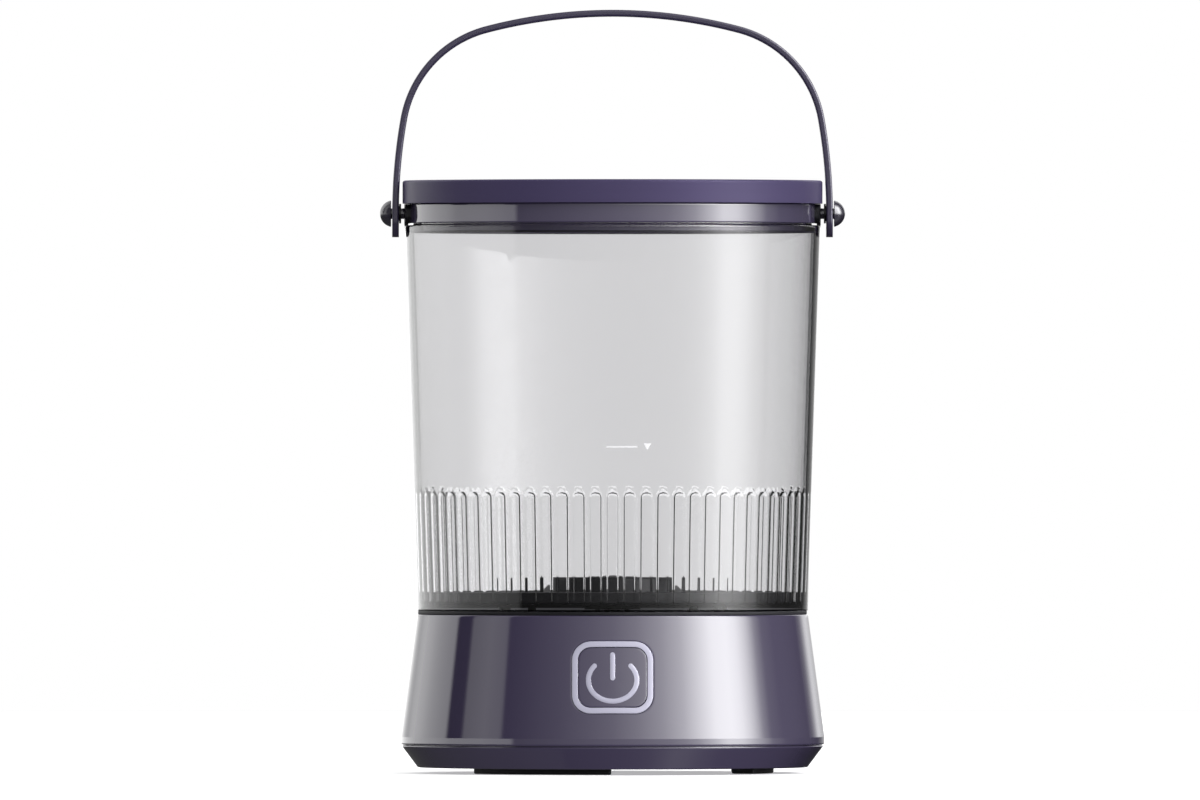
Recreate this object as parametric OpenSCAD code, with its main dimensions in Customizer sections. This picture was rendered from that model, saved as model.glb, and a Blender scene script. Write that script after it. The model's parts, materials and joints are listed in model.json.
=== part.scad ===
// Portable mini washer: a clear tub on a cone-shaped base that holds a geared motor,
// a pulsator inside the tub, a rim collar with a swinging bail, and a push-fit lid.
// Millimetres. +Z is up, the front (the button) faces -Y, and the origin is the centre
// of the surface that the feet stand on.

/* [Tub] */
// Outer radius of the tub at its foot
tub_foot_r = 87.6; // [87:0.1:106]
// Outer radius of the tub at its shoulder
tub_rim_r = 93.3; // [84:0.1:112]
// Height of the tub from its foot to its shoulder
tub_h = 172.6; // [140:0.1:210]
// Thickness of the tub's wall and floor
tub_wall = 2.6; // [2:0.1:3.2]
// How far the neck above the shoulder is set back from the tub's outside
neck_set = 3.9; // [3.6:0.1:6]
// Height of the neck above the shoulder
neck_h = 8.4; // [6:0.1:12]
// Number of wash ribs inside the tub
rib_n = 72; // [24:12:96]
// Half the width of a wash rib, and the radius of its arched top
rib_r = 2.4; // [1.2:0.1:2.6]
// How far a wash rib stands proud of the wall
rib_proud = 0.9; // [0.5:0.1:1.4]
// Height of the wash ribs above the tub's foot
rib_h = 53.3; // [30:0.1:90]

/* [Base] */
// Height of the base without its feet
base_h = 68.5; // [67:0.1:85]
// How far the base stands out past the tub's foot
base_flare = 7.4; // [3:0.1:14]
// Height of the bottom pan
pan_h = 10.3; // [9:0.1:14]
// How far the pan's side tucks in towards the floor
pan_tuck = 7.6; // [3:0.1:9]
// Height of the upright band above the pan
band_h = 3.4; // [2.8:0.1:6]
// Wall thickness of the base's shells
base_wall = 2.5; // [2:0.1:3.1]
// Thickness of the gasket pad between base and tub
gasket_t = 1.6; // [1:0.1:3]

/* [Feet] */
// Height that the feet stand below the pan
foot_h = 2.6; // [2:0.1:5]
// Radial width of a foot
foot_w = 11.2; // [6:0.1:14]
// Length of a foot, in degrees round the base
foot_arc = 59; // [30:1:80]
// How far the feet are set in from the pan's edge
foot_inset = 15.2; // [13.5:0.1:24]

/* [Collar and lid] */
// Height of the collar's outer skirt
collar_h = 8.8; // [8.4:0.1:13]
// Thickness of the collar's skirts
collar_t = 1.7; // [1.4:0.1:2.1]
// How far the collar's inner skirt hangs below its outer one
skirt_drop = 4.0; // [2:0.1:6]
// Height of the lid's cap
lid_h = 10.1; // [8:0.1:13]
// How far the lid stands out past the tub's shoulder
lid_over = 0.8; // [0.4:0.1:1.2]
// Wall thickness of the lid's cap
lid_t = 2.4; // [1.8:0.1:2.9]
// Depth of the lid's plug below the lid's cap
plug_h = 7.4; // [6.5:0.1:9]

/* [Bail] */
// Height of the bail's middle line above its pivots
bail_rise = 89.8; // [88:0.1:110]
// Thickness of the bail's strap
strap_t = 3; // [2:0.1:3.2]
// Width of the bail's strap
strap_w = 14; // [11:0.1:17]
// How far the strap runs below its pivots
strap_tail = 10.6; // [8:0.1:13]
// Radius of the bail's side curves
bail_side_r = 244; // [200:1:300]
// Radius of the bail's shoulder curves
bail_shoulder_r = 50.5; // [40:0.1:54]
// Gap between the tub's side and the strap
strap_gap = 2.4; // [2:0.1:4]
// Radius of the pivot pins
pivot_r = 2.4; // [1.8:0.1:2.9]
// Radius of the pivot knobs' heads
knob_r = 5.95; // [5:0.1:7.2]
// Depth of the pivot knobs' heads
knob_h = 5; // [3:0.1:5.9]

/* [Button] */
// Width of the button's frame
button_w = 36.2; // [30:0.1:44]
// Height of the button's frame
button_h = 32.4; // [28:0.1:39]
// Outer corner radius of the button's frame
button_corner = 8.4; // [6:0.1:10]
// Width of the frame's line
frame_line = 2.6; // [1.8:0.1:3.2]
// Travel of the button
button_travel = 1; // [0.6:0.1:1.2]

/* [Pulsator] */
// Radius of the pulsator
pulsator_r = 80; // [66:0.1:82]
// Radius of the pulsator's hub
hub_r = 30.2; // [29:0.1:37]
// Height of the hub's top above the tub's foot
hub_top = 15; // [14:0.1:19]
// Number of vanes
vane_n = 6; // [3:1:10]

/* [Drive] */
// Radius of the drive shaft
shaft_r = 4; // [3.2:0.1:4.8]
// Module of the output gear and the idler's small gear
slow_mod = 1; // [0.9:0.01:1.1]
// Teeth of the output gear
output_teeth = 56; // [48:1:60]
// Teeth of the idler's small gear
small_teeth = 14; // [12:1:18]
// Module of the motor pinion and the idler's large gear
fast_mod = 0.8; // [0.7:0.01:0.9]
// Teeth of the idler's large gear
large_teeth = 48; // [40:1:52]
// Teeth of the motor pinion
pinion_teeth = 12; // [12:1:16]
// Radius of the motor's can
motor_r = 14; // [12:0.1:16]
// Length of the motor's can
motor_h = 33; // [26:0.1:34]

/* [Hidden] */
$fn = 96;
eps = 0.01;
fit = 0.15;            // clearance where one fixed piece seats in another
slip = 0.25;           // clearance where a piece slides or turns
seat = 0.3;            // gap under the lid's rim
parting = 0.15;        // shadow gap between the two shells of the base

z_pan = foot_h;
z_split = z_pan + pan_h;
z_band = z_split + band_h;
z_deck = z_pan + base_h;
z_tub = z_deck + gasket_t;
z_floor = z_tub + tub_wall;
z_shoulder = z_tub + tub_h;
z_neck = z_shoulder + neck_h;
z_collar = z_shoulder + 0.9;
z_rim = z_collar + collar_h;
z_lid = z_rim + seat;
z_lid_top = z_lid + lid_h;
z_pivot = z_collar + collar_h / 2;

base_r = tub_foot_r + base_flare;
pan_r = base_r - pan_tuck;
flare_angle = atan(base_flare / (z_deck - z_band));
tub_angle = atan((tub_rim_r - tub_foot_r) / tub_h);

neck_out = tub_rim_r - neck_set;
neck_wall = 2.2;
neck_in = neck_out - neck_wall;
collar_r = neck_out + fit + collar_t;
skirt_out = neck_in - fit;
skirt_in = skirt_out - collar_t;
bearing_out = 9;
bearing_h = 5;
lid_r = tub_rim_r + lid_over;
plug_gap = 0.5;
plug_r = skirt_in - plug_gap;
plug_t = 2;
seal_h = 2.4;
seal_deep = 1.2;

// Outer radius of the base's cone at height z, moved out by "out"
function base_at(z, out = 0) = base_r - max(0, z - z_band) * tan(flare_angle) + out / cos(flare_angle);
// Inner radius of the tub's wall at height z
function tub_in(z) = tub_foot_r - tub_wall + (z - z_tub) * tan(tub_angle);

// A piece of ring of rectangular section
module ring(r_out, r_in, h) {
  rotate_extrude() translate([r_in, 0]) square([r_out - r_in, h]);
}

// n copies round the Z axis, the first at angle "first" measured from the front
module around(n, r, first = 0) {
  for (i = [0 : n - 1]) rotate([0, 0, first + i * 360 / n]) translate([0, -r, 0]) children();
}

// Places its children on the base's cone at height z; +Z is then outwards and +Y up the slope
module on_cone(z, turn = 0) {
  rotate([0, 0, turn]) translate([0, -base_at(z), z]) rotate([90 - flare_angle, 0, 0]) children();
}

// A layer that follows the base's cone, from "low" to "high" outside its surface
module cone_layer(low, high) {
  z0 = z_band;
  z1 = z_deck - 2;
  translate([0, 0, z0]) difference() {
    cylinder(r1 = base_at(z0, high), r2 = base_at(z1, high), h = z1 - z0);
    translate([0, 0, -eps]) cylinder(
      r1 = base_at(z0, low) + eps * tan(flare_angle),
      r2 = base_at(z1, low) - eps * tan(flare_angle), h = z1 - z0 + 2 * eps);
  }
}

// A rounded rectangle in the plane, from circles and squares so that it stays exact
module rounded(w, h, r) {
  square([w - 2 * r, h], center = true);
  square([w, h - 2 * r], center = true);
  for (x = [-1, 1], y = [-1, 1]) translate([x * (w / 2 - r), y * (h / 2 - r)]) circle(r);
}

// ---- base ----

screw_r = 1.5;
screw_head_r = 2.9;
screw_head_h = 1.8;
post_r = 4.5;
post_ring = pan_r - 9.6;       // radius of the circle that the base's screws stand on
foot_out = pan_r - foot_inset;
foot_turn = -120;              // direction of the first foot, which is the front left one
foot_sunk = 1.2;
pan_floor = 3.2;
lip_t = 1.8;
lip_h = 2.5;

module base_pan() {
  color("#4d4666") difference() {
    union() {
      rotate_extrude() polygon([
        [0, z_pan], [pan_r, z_pan], [base_r, z_split - parting],
          [base_r - base_wall, z_split - parting],
        [pan_r - base_wall, z_pan + pan_floor], [0, z_pan + pan_floor]]);
      // locating lip inside the housing's wall
      translate([0, 0, z_pan + pan_floor - eps]) ring(base_r - base_wall - fit,
        base_r - base_wall - fit - lip_t, z_split + lip_h - z_pan - pan_floor);
      // stand-offs under the control board
      for (p = board_holes) translate([p[0], p[1], z_pan + pan_floor - eps])
        cylinder(r = 3, h = board_stand + eps);
      // ribs that locate the battery tray
      for (y = [-1, 1])
        translate([-12, cell_y + y * (tray_w / 2 + fit + 1) - 1, z_pan + pan_floor - eps])
        cube([24, 2, 4]);
    }
    around(4, post_ring, 45) {
      translate([0, 0, z_pan - 1]) cylinder(r = screw_r + slip, h = pan_floor + 2);
      translate([0, 0, z_pan - 1]) cylinder(r = screw_head_r + slip, h = 1 + screw_head_h);
    }
    for (i = [0 : 2]) foot_shape(i, z_pan - 1, z_pan + foot_sunk, fit);
    for (p = board_holes) translate([p[0], p[1], z_pan + 1.4]) cylinder(r = board_screw_r, h = 20);
  }
}

// A ring segment under foot number i, grown by "grow" all round
module foot_shape(i, z0, z1, grow = 0) {
  turn = foot_turn + i * 120 - foot_arc / 2;
  more = atan(grow / foot_out);
  translate([0, 0, z0]) rotate([0, 0, turn - more])
    rotate_extrude(angle = foot_arc + 2 * more)
      translate([foot_out - foot_w - grow, 0]) square([foot_w + 2 * grow, z1 - z0]);
}

module foot(i) {
  color("#161618") {
    foot_shape(i, 0.5, z_pan + foot_sunk);
    foot_shape(i, 0, 0.5, -0.5);
  }
}

module base_screw() {
  head = z_pan + 0.3;
  translate([0, 0, head]) difference() {
    union() {
      cylinder(r = screw_head_r, h = screw_head_h - 0.3);
      translate([0, 0, screw_head_h - 0.3 - eps]) cylinder(r = screw_r, h = 12);
    }
    for (a = [0, 90]) rotate([0, 0, a]) translate([-1.6, -0.3, -1]) cube([3.2, 0.6, 1.9]);
  }
}

module base_screws() {
  color("silver") around(4, post_ring, 45) base_screw();
}

window_w = button_w - 2 * frame_line;
window_h = button_h - 2 * frame_line;
window_corner = button_corner - frame_line;
button_z = z_pan + 41.1;
frame_sunk = 1.2;
frame_proud = 0.35;

inlet_z = z_pan + 22;
inlet_w = 17;
inlet_h = 10;
port_w = 9.4;
port_h = 3.6;
cover_t = 1.5;
bead_r = 0.9;

module base_housing() {
  inner_deck = z_deck - base_wall;
  color("#4d4666") difference() {
    union() {
      rotate_extrude() polygon([
        [base_r, z_split], [base_r, z_band], [tub_foot_r, z_deck], [deck_bore_r, z_deck],
        [deck_bore_r, inner_deck], [base_at(inner_deck, -base_wall), inner_deck],
        [base_r - base_wall, z_band], [base_r - base_wall, z_split]]);
      // screw posts for the pan
      around(4, post_ring, 45) translate([0, 0, z_pan + pan_floor + fit])
        cylinder(r = post_r, h = inner_deck - z_pan - pan_floor);
      // bosses that the gear case hangs from
      for (p = case_holes) translate([p[0], p[1], z_cover_top])
        cylinder(r = lug_r, h = inner_deck - z_cover_top + eps);
      // bosses for the tub's screws
      around(4, tub_screw_ring, 45) translate([0, 0, inner_deck - tub_boss_h])
        cylinder(r = 3.6, h = tub_boss_h + eps);
      // walls that hold the button's switch board
      for (x = [-1, 1]) on_cone(button_z)
        translate([x * (board_front_w / 2 + 1.2) - 1.2, -8, -base_wall - 7.5])
        cube([2.4, 16, 7.5]);
      // rails that hold the power inlet
      on_cone(inlet_z, 180) for (x = [-1, 1]) translate([x * 8.4 - 1.1, -4.6, -base_wall - 12])
        cube([2.2, 9.2, 12]);
    }
    around(4, post_ring, 45) translate([0, 0, z_pan]) cylinder(r = screw_r, h = 22);
    for (p = case_holes) translate([p[0], p[1], z_cover_top - 1])
      cylinder(r = small_screw_r, h = z_deck - 0.7 - z_cover_top + 1);
    around(4, tub_screw_ring, 45) translate([0, 0, z_deck - 12]) cylinder(r = screw_r, h = 13);
    // stepped window for the button and its frame
    on_cone(button_z) {
      translate([0, 0, -12]) linear_extrude(24) rounded(window_w, window_h, window_corner);
      intersection() {
        translate([0, 0, -6]) linear_extrude(12)
          rounded(button_w + 2 * fit, button_h + 2 * fit, button_corner + fit);
        rotate([flare_angle - 90, 0, 0]) translate([0, base_at(button_z), -button_z])
          cone_layer(-frame_sunk, 4);
      }
    }
    // recess, opening and hinge groove for the inlet's cover
    on_cone(inlet_z, 180) {
      translate([0, 0, -cover_t - 0.2]) linear_extrude(6) rounded(inlet_w, inlet_h, 2.5);
      translate([0, 0, -14]) linear_extrude(16)
        rounded(port_w + 2 * slip, port_h + 2 * slip, port_h / 2 + slip - 0.01);
      translate([-inlet_w / 2 + 2.5, -inlet_h / 2, 0]) rotate([0, 90, 0])
        cylinder(r = bead_r + slip, h = inlet_w - 5);
    }
  }
}

// ---- tub ----

gasket_r = tub_foot_r - 0.5;
deck_bore_r = bearing_out + slip;
tub_screw_ring = 42;
tub_boss_h = 7;
tub_boss_r = 12;
tub_boss_top = z_floor + 4.6;
seal_out = 9;

module tub_gasket() {
  color("#121214") difference() {
    translate([0, 0, z_deck]) cylinder(r = gasket_r, h = gasket_t);
    translate([0, 0, z_deck - 1]) cylinder(r = tub_boss_r - 1, h = gasket_t + 2);
    around(4, tub_screw_ring, 45) translate([0, 0, z_deck - 1])
      cylinder(r = screw_r + slip, h = gasket_t + 2);
  }
}

// One wash rib: a flat bar with an arched top, proud of the wall's inside
module wash_rib() {
  w = 2 * rib_r;
  run = rib_h - tub_wall - rib_r;
  translate([tub_in(z_floor), 0, z_floor]) rotate([0, tub_angle, 0]) translate([-rib_proud, 0, 0])
    rotate([90, 0, 90]) linear_extrude(rib_proud + tub_wall / 2) {
      translate([-rib_r, -0.5]) square([w, run + 0.5]);
      translate([0, run]) circle(r = rib_r);
    }
}

module tub() {
  color([0.86, 0.87, 0.89, 0.35]) difference() {
    union() {
      rotate_extrude() polygon([
        [0, z_tub], [tub_foot_r - 0.6, z_tub], [tub_foot_r, z_tub + 0.6],
        [tub_rim_r, z_shoulder], [neck_out, z_shoulder], [neck_out, z_neck], [neck_in, z_neck],
        [neck_in, z_shoulder - tub_wall],
          [tub_in(z_shoulder - tub_wall - 4), z_shoulder - tub_wall - 4],
        [tub_in(z_floor), z_floor], [tub_boss_r, z_floor], [tub_boss_r, tub_boss_top],
          [0, tub_boss_top]]);
      for (i = [0 : rib_n - 1]) rotate([0, 0, (i + 0.5) * 360 / rib_n - 90]) wash_rib();
    }
    translate([0, 0, z_tub - 1]) cylinder(r = shaft_r + 1.5, h = tub_boss_top - z_tub + 2);
    translate([0, 0, z_tub + 1.6]) cylinder(r = seal_out, h = tub_boss_top - z_tub);
    around(4, tub_screw_ring, 45) translate([0, 0, z_tub - 1])
      cylinder(r = screw_r + slip, h = tub_wall + 2);
    for (side = [0, 180]) rotate([0, 0, side]) bracket_tongue(fit);
  }
}

module tub_screws() {
  color("silver") around(4, tub_screw_ring, 45) translate([0, 0, z_floor]) difference() {
    union() {
      translate([0, 0, -tub_wall - gasket_t - 7])
        cylinder(r = screw_r, h = tub_wall + gasket_t + 7 + eps);
      cylinder(r = screw_head_r, h = 1.5);
    }
    for (a = [0, 90]) rotate([0, 0, a]) translate([-1.5, -0.3, 0.7]) cube([3, 0.6, 2]);
  }
}

module shaft_seal() {
  color("#1d1d20") difference() {
    translate([0, 0, z_tub + 1.6]) rotate_extrude() polygon([
      [shaft_r + 0.1, 0.6], [shaft_r + 1.2, 0], [seal_out, 0], [seal_out, tub_boss_top - z_tub - 1.9],
      [shaft_r + 2.4, tub_boss_top - z_tub - 1.9], [shaft_r + 2.4, 2.4], [shaft_r + 0.1, 1.6]]);
  }
}

// ---- collar, lid ----

bracket_w = 25;
bracket_drop = 5.2;            // how far a bracket's tongue hangs below the collar
tongue_w = 12;
tongue_t = 1.6;
thread_r = 1.6;

// The tongue of a bracket, or with "grow" the notch that it leaves in the tub's shoulder
module bracket_tongue(grow = 0) {
  half = tongue_w / 2 / tub_rim_r * 180 / PI + grow;
  out = tub_rim_r + grow;
  rotate([0, 0, -half]) rotate_extrude(angle = 2 * half) polygon([
    [tub_rim_r - tongue_t - grow, z_collar + 1], [out, z_collar + 1], [out, z_collar - 0.5],
    [tub_rim_r - tongue_t * 0.6 + grow, z_collar - bracket_drop - grow],
    [tub_rim_r - tongue_t - grow, z_collar - bracket_drop - grow]]);
}

module rim_collar() {
  color("#57506f") difference() {
    rotate_extrude() polygon([
      [skirt_in, z_collar - skirt_drop], [skirt_out, z_collar - skirt_drop], [skirt_out, z_neck + fit],
      [neck_out + fit, z_neck + fit], [neck_out + fit, z_collar], [collar_r, z_collar],
      [collar_r, z_rim - 0.5], [collar_r - 0.5, z_rim], [skirt_in + 0.5, z_rim],
        [skirt_in, z_rim - 0.5]]);
    for (side = [0, 180]) rotate([0, 0, side]) translate([neck_out - 1, 0, z_pivot]) rotate([0, 90, 0])
      cylinder(r = thread_r, h = 10);
  }
}

// A curved plate on the collar's side that carries a pivot pin: a shield with its tip over the shoulder
module pivot_bracket() {
  top = z_rim - 0.2;
  color("#141318") difference() {
    union() {
      intersection() {
        translate([0, 0, z_collar]) ring(tub_rim_r, collar_r, top - z_collar);
        translate([0, 0, (top + z_collar) / 2]) rotate([90, 0, 90]) linear_extrude(200)
          rounded(bracket_w, top - z_collar, 3);
      }
      bracket_tongue();
    }
    translate([collar_r - 5, 0, z_pivot]) rotate([0, 90, 0]) cylinder(r = thread_r, h = 20);
  }
}

module knob_profile() {
  ball = (knob_r * knob_r + knob_h * knob_h) / (2 * knob_h);
  intersection() {
    translate([0, knob_h - ball]) circle(r = ball);
    square([knob_r + 1, knob_h + 1]);
  }
}

head_x = tub_rim_r + strap_gap + strap_t + 0.5;

// Domed screw that the strap turns on; its shoulder bears on the bracket
module pivot_knob() {
  color("#2c2838") translate([0, 0, z_pivot]) rotate([0, 90, 0]) {
    translate([0, 0, head_x]) rotate_extrude() knob_profile();
    translate([0, 0, tub_rim_r]) cylinder(r = pivot_r, h = head_x - tub_rim_r + eps);
    translate([0, 0, neck_out + fit]) cylinder(r = thread_r, h = tub_rim_r - neck_out);
  }
}

module lid_cap() {
  inner_r = lid_r - lid_t;
  color("#51497a") difference() {
    rotate_extrude() polygon([
      [0, z_lid_top], [lid_r - 0.8, z_lid_top], [lid_r - 0.23, z_lid_top - 0.23],
        [lid_r, z_lid_top - 0.8],
      [lid_r, z_lid + 0.4], [lid_r - 0.4, z_lid], [inner_r, z_lid], [inner_r, z_lid_top - lid_t],
        [0, z_lid_top - lid_t]]);
    // sockets that the plug's clips press into
    around(6, plug_r - plug_t / 2, 30) translate([0, 0, z_lid_top - lid_t - 1])
      cylinder(r = 1, h = 2);
  }
}

module lid_plug() {
  top = z_lid_top - lid_t;
  color("#57506f") difference() {
    union() {
      rotate_extrude() polygon([
        [plug_r - plug_t, z_lid - plug_h], [plug_r - 0.6, z_lid - plug_h],
          [plug_r, z_lid - plug_h + 0.6],
        [plug_r, z_lid], [lid_r - lid_t - fit, z_lid], [lid_r - lid_t - fit, z_lid + 2],
        [plug_r, z_lid + 2], [plug_r, top], [plug_r - plug_t, top]]);
      around(6, plug_r - plug_t / 2, 30) translate([0, 0, top - eps]) cylinder(r = 0.9, h = 0.8);
      // webs that stiffen the plug
      translate([0, 0, z_lid + 1]) ring(plug_r - plug_t + eps, plug_r - plug_t - 4, 1.6);
    }
    translate([0, 0, z_lid - plug_h / 2 - seal_h / 2]) ring(plug_r + 2, plug_r - seal_deep, seal_h);
  }
}

module lid_seal() {
  mid = z_lid - plug_h / 2;
  color("#8d8b98") translate([0, 0, mid]) rotate_extrude() polygon([
    [plug_r - seal_deep, -seal_h / 2], [plug_r, -seal_h / 2], [plug_r + plug_gap - 0.2, 0],
    [plug_r, seal_h / 2], [plug_r - seal_deep, seal_h / 2]]);
}

// ---- bail ----

half_span = tub_rim_r + strap_gap + strap_t / 2;
side_sweep = 10;               // degrees of the side curve before the shoulder begins
side_c = half_span - bail_side_r;
shoulder_x = side_c + (bail_side_r - bail_shoulder_r) * cos(side_sweep);
shoulder_z = (bail_side_r - bail_shoulder_r) * sin(side_sweep);
// the crown's radius makes it tangent to both shoulders and bail_rise high
crown_r = (pow(bail_shoulder_r, 2) - pow(shoulder_x, 2) - pow(shoulder_z - bail_rise, 2))
  / (2 * (shoulder_z - bail_rise + bail_shoulder_r));
crown_from = atan2(shoulder_z - bail_rise + crown_r, shoulder_x);
// Points along one side of the strap, "out" from its middle line, from the right pivot over to the left one
function arc_points(x, z, r, from, to, steps) =
  [for (i = [0 : steps]) let (a = from + (to - from) * i / steps) [x + r * cos(a), z + r * sin(a)]];
function strap_line(out) =
  let (right = concat(
    arc_points(side_c, 0, bail_side_r + out, 0, side_sweep, 8),
    arc_points(shoulder_x, shoulder_z, bail_shoulder_r + out, side_sweep, crown_from, 32),
    arc_points(0, bail_rise - crown_r, crown_r + out, crown_from, 89, 8)))
  concat(right, [for (i = [len(right) - 1 : -1 : 0]) [-right[i][0], right[i][1]]]);

// The strap's tail, with its round tip, in the plane of the pivot's hole
module strap_tail_end() {
  translate([half_span - strap_t / 2, 0, 0]) rotate([90, 0, 90]) linear_extrude(strap_t) {
    translate([-strap_w / 2, -strap_tail + strap_w / 2])
      square([strap_w, strap_tail - strap_w / 2 + 1]);
    intersection() {
      translate([0, -strap_tail + strap_w / 2]) circle(r = strap_w / 2);
      translate([-strap_w, -2 * strap_tail]) square([2 * strap_w, 2 * strap_tail]);
    }
  }
}

bush_r = pivot_r + 1.1;

module bail_strap() {
  outer = strap_line(strap_t / 2);
  inner = strap_line(-strap_t / 2);
  color("#3d3659") translate([0, 0, z_pivot]) difference() {
    union() {
      rotate([90, 0, 0]) linear_extrude(strap_w, center = true)
        polygon(concat(outer, [for (i = [len(inner) - 1 : -1 : 0]) inner[i]]));
      strap_tail_end();
      mirror([1, 0, 0]) strap_tail_end();
    }
    for (side = [-1, 1]) translate([side * half_span - 5, 0, 0]) rotate([0, 90, 0])
      cylinder(r = bush_r, h = 10);
  }
}

// Flanged bush between a strap's hole and its pin
module strap_bush() {
  color("#0f0f12") translate([half_span - strap_t / 2, 0, z_pivot]) rotate([0, 90, 0]) difference() {
    union() {
      translate([0, 0, -1]) cylinder(r = pivot_r + 2, h = 0.85);
      translate([0, 0, -0.2]) cylinder(r = bush_r, h = strap_t + 0.2);
    }
    translate([0, 0, -2]) cylinder(r = pivot_r + 0.06, h = strap_t + 4);
  }
}

// ---- button ----

cap_proud = 0.1;
cap_t = 2.6;

module button_prism(w, h, r, low, high) {
  intersection() {
    on_cone(button_z) translate([0, 0, -14]) linear_extrude(24) rounded(w, h, r);
    cone_layer(low, high);
  }
}

module button_frame() {
  color("#b9b9c6") difference() {
    button_prism(button_w, button_h, button_corner, -frame_sunk, frame_proud);
    on_cone(button_z) translate([0, 0, -16]) linear_extrude(30)
      rounded(window_w, window_h, window_corner);
  }
}

// The sign's line: an open ring with an upright stroke, both with round ends
sign_rx = 10.8;
sign_ry = 9.5;
sign_line = 2.2;
sign_gap = 42;                 // half of the ring's opening, in degrees
sign_deep = 0.5;
sign_drop = 1.2;               // how far the ring's centre lies below the button's
bar_low = 0.9;                 // ends of the stroke's middle line above the ring's centre
bar_high = 11.3;
round_end = 0.002;             // the end circles are this much smaller than the line's half width

module power_sign(line) {
  steps = 48;
  half = line / 2;
  turns = [for (i = [0 : steps]) 90 + sign_gap + i * (360 - 2 * sign_gap) / steps];
  back = [for (i = [steps : -1 : 0]) turns[i]];
  translate([0, -sign_drop]) {
    polygon(concat(
      [for (a = turns) [(sign_rx + half) * cos(a), (sign_ry + half) * sin(a)]],
      [for (a = back) [(sign_rx - half) * cos(a), (sign_ry - half) * sin(a)]]));
    for (a = [90 + sign_gap, 90 - sign_gap]) translate([sign_rx * cos(a), sign_ry * sin(a)])
      circle(r = half - round_end);
    translate([-half, bar_low]) square([line, bar_high - bar_low]);
    for (y = [bar_low, bar_high]) translate([0, y]) circle(r = half - round_end);
  }
}

module power_button() {
  stem_r = 2.5;
  color("#5a5374") difference() {
    union() {
      button_prism(window_w - 2 * slip, window_h - 2 * slip, window_corner - slip, -cap_t, cap_proud);
      on_cone(button_z) translate([0, 0, -stem_end]) cylinder(r = stem_r, h = stem_end - cap_t + 1);
    }
    intersection() {
      on_cone(button_z) translate([0, 0, -8]) linear_extrude(16) power_sign(sign_line);
      cone_layer(-sign_deep, 3);
    }
  }
}

module power_symbol() {
  color("#c9c9d6") intersection() {
    on_cone(button_z) translate([0, 0, -8]) linear_extrude(16) power_sign(sign_line - 0.06);
    cone_layer(-sign_deep, cap_proud + 0.12);
  }
}

// distances below the cone's surface at the button
board_front_w = 26;
board_front_h = 20;
stem_end = cap_t + 1.6;
plunger_h = 1.8;
plunger_in = 0.6;              // how far the plunger reaches into the switch at rest
switch_h = 2.2;
switch_well = plunger_in + button_travel + 0.3;
switch_top = stem_end + plunger_h - plunger_in;
board_front = switch_top + switch_h;

module switch_plunger() {
  color("#101012") on_cone(button_z) translate([0, 0, -stem_end - plunger_h + eps])
    cylinder(r = 1.7, h = plunger_h - eps);
}

module tact_switch() {
  color("#2a2a2e") on_cone(button_z) translate([0, 0, -board_front]) difference() {
    translate([-3, -3, 0]) cube([6, 6, switch_h]);
    translate([0, 0, switch_h - switch_well]) cylinder(r = 1.7 + 0.1, h = 4);
  }
}

module switch_board() {
  color("#1f5c3a") on_cone(button_z)
    translate([-board_front_w / 2, -board_front_h / 2, -board_front - 1.6]) difference() {
    cube([board_front_w - 0.2, board_front_h, 1.6]);
    for (x = [3, board_front_w - 3]) translate([x, 3, -1]) cylinder(r = 1.1, h = 4);
  }
}

// ---- gear train ----

pressure = 25;
backlash = 0.16;
z_case = z_deck - 26;          // underside of the gear case
case_floor = 2.4;
cover_h = 2.4;
z_cover_top = z_deck - base_wall - 3.2;
z_slow = z_case + case_floor + 0.8;
slow_face = 6.4;
fast_face = 4.6;
z_fast = z_slow + slow_face + 0.6;
case_wall = 2;
slow_centre = slow_mod * (output_teeth + small_teeth) / 2;
fast_centre = fast_mod * (large_teeth + pinion_teeth) / 2;
motor_turn = -60;
idler_at = [slow_centre, 0];
motor_at = [slow_centre + fast_centre * cos(motor_turn), fast_centre * sin(motor_turn)];
output_out = slow_mod * (output_teeth / 2 + 1);
large_out = fast_mod * (large_teeth / 2 + 1);
small_screw_r = 1.2;
lug_r = 3.4;
case_lug = output_out + 1.2 + case_wall + lug_r - 1;
case_holes = [for (a = [120, 180, 240]) [case_lug * cos(a), case_lug * sin(a)],
  [slow_centre + (large_out + 1.2 + case_wall + lug_r - 1) * cos(50),
    (large_out + 1.2 + case_wall + lug_r - 1) * sin(50)]];

// Half the angle that a tooth takes at radius r, from the involute of its base circle
function involute(rb, r) = let (a = acos(min(1, rb / r))) tan(a) * 180 / PI - a;
function tooth_half(n, m, r) =
  let (rp = n * m / 2, rb = rp * cos(pressure))
  90 / n - backlash / 2 / rp * 90 / PI + involute(rb, rp) - involute(rb, max(r, rb));

// Outline of a spur gear with its first tooth at angle "phase"
module gear_outline(n, m, phase) {
  rp = n * m / 2;
  rb = rp * cos(pressure);
  root = rp - 1.2 * m;
  tip = rp + 0.95 * m;
  low = max(root, rb);
  flank = [root, for (i = [0 : 4]) low + (tip - low) * i / 4];
  polygon([for (k = [0 : n - 1], side = [-1, 1], i = [0 : 5])
    let (r = side < 0 ? flank[i] : flank[5 - i], a = phase + k * 360 / n + side * tooth_half(n, m, r))
    [r * cos(a), r * sin(a)]]);
}

module output_gear() {
  color("ivory") translate([0, 0, z_slow]) difference() {
    union() {
      linear_extrude(slow_face) gear_outline(output_teeth, slow_mod, 0);
      cylinder(r = shaft_r + 4, h = slow_face + 2);
    }
    translate([0, 0, -1]) cylinder(r = shaft_r, h = slow_face + 4);
    // lightening recess on each side of the web
    for (z = [-1, slow_face - 1.8]) translate([0, 0, z]) ring(output_out - 5, shaft_r + 6.5, 2.8);
  }
}

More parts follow.
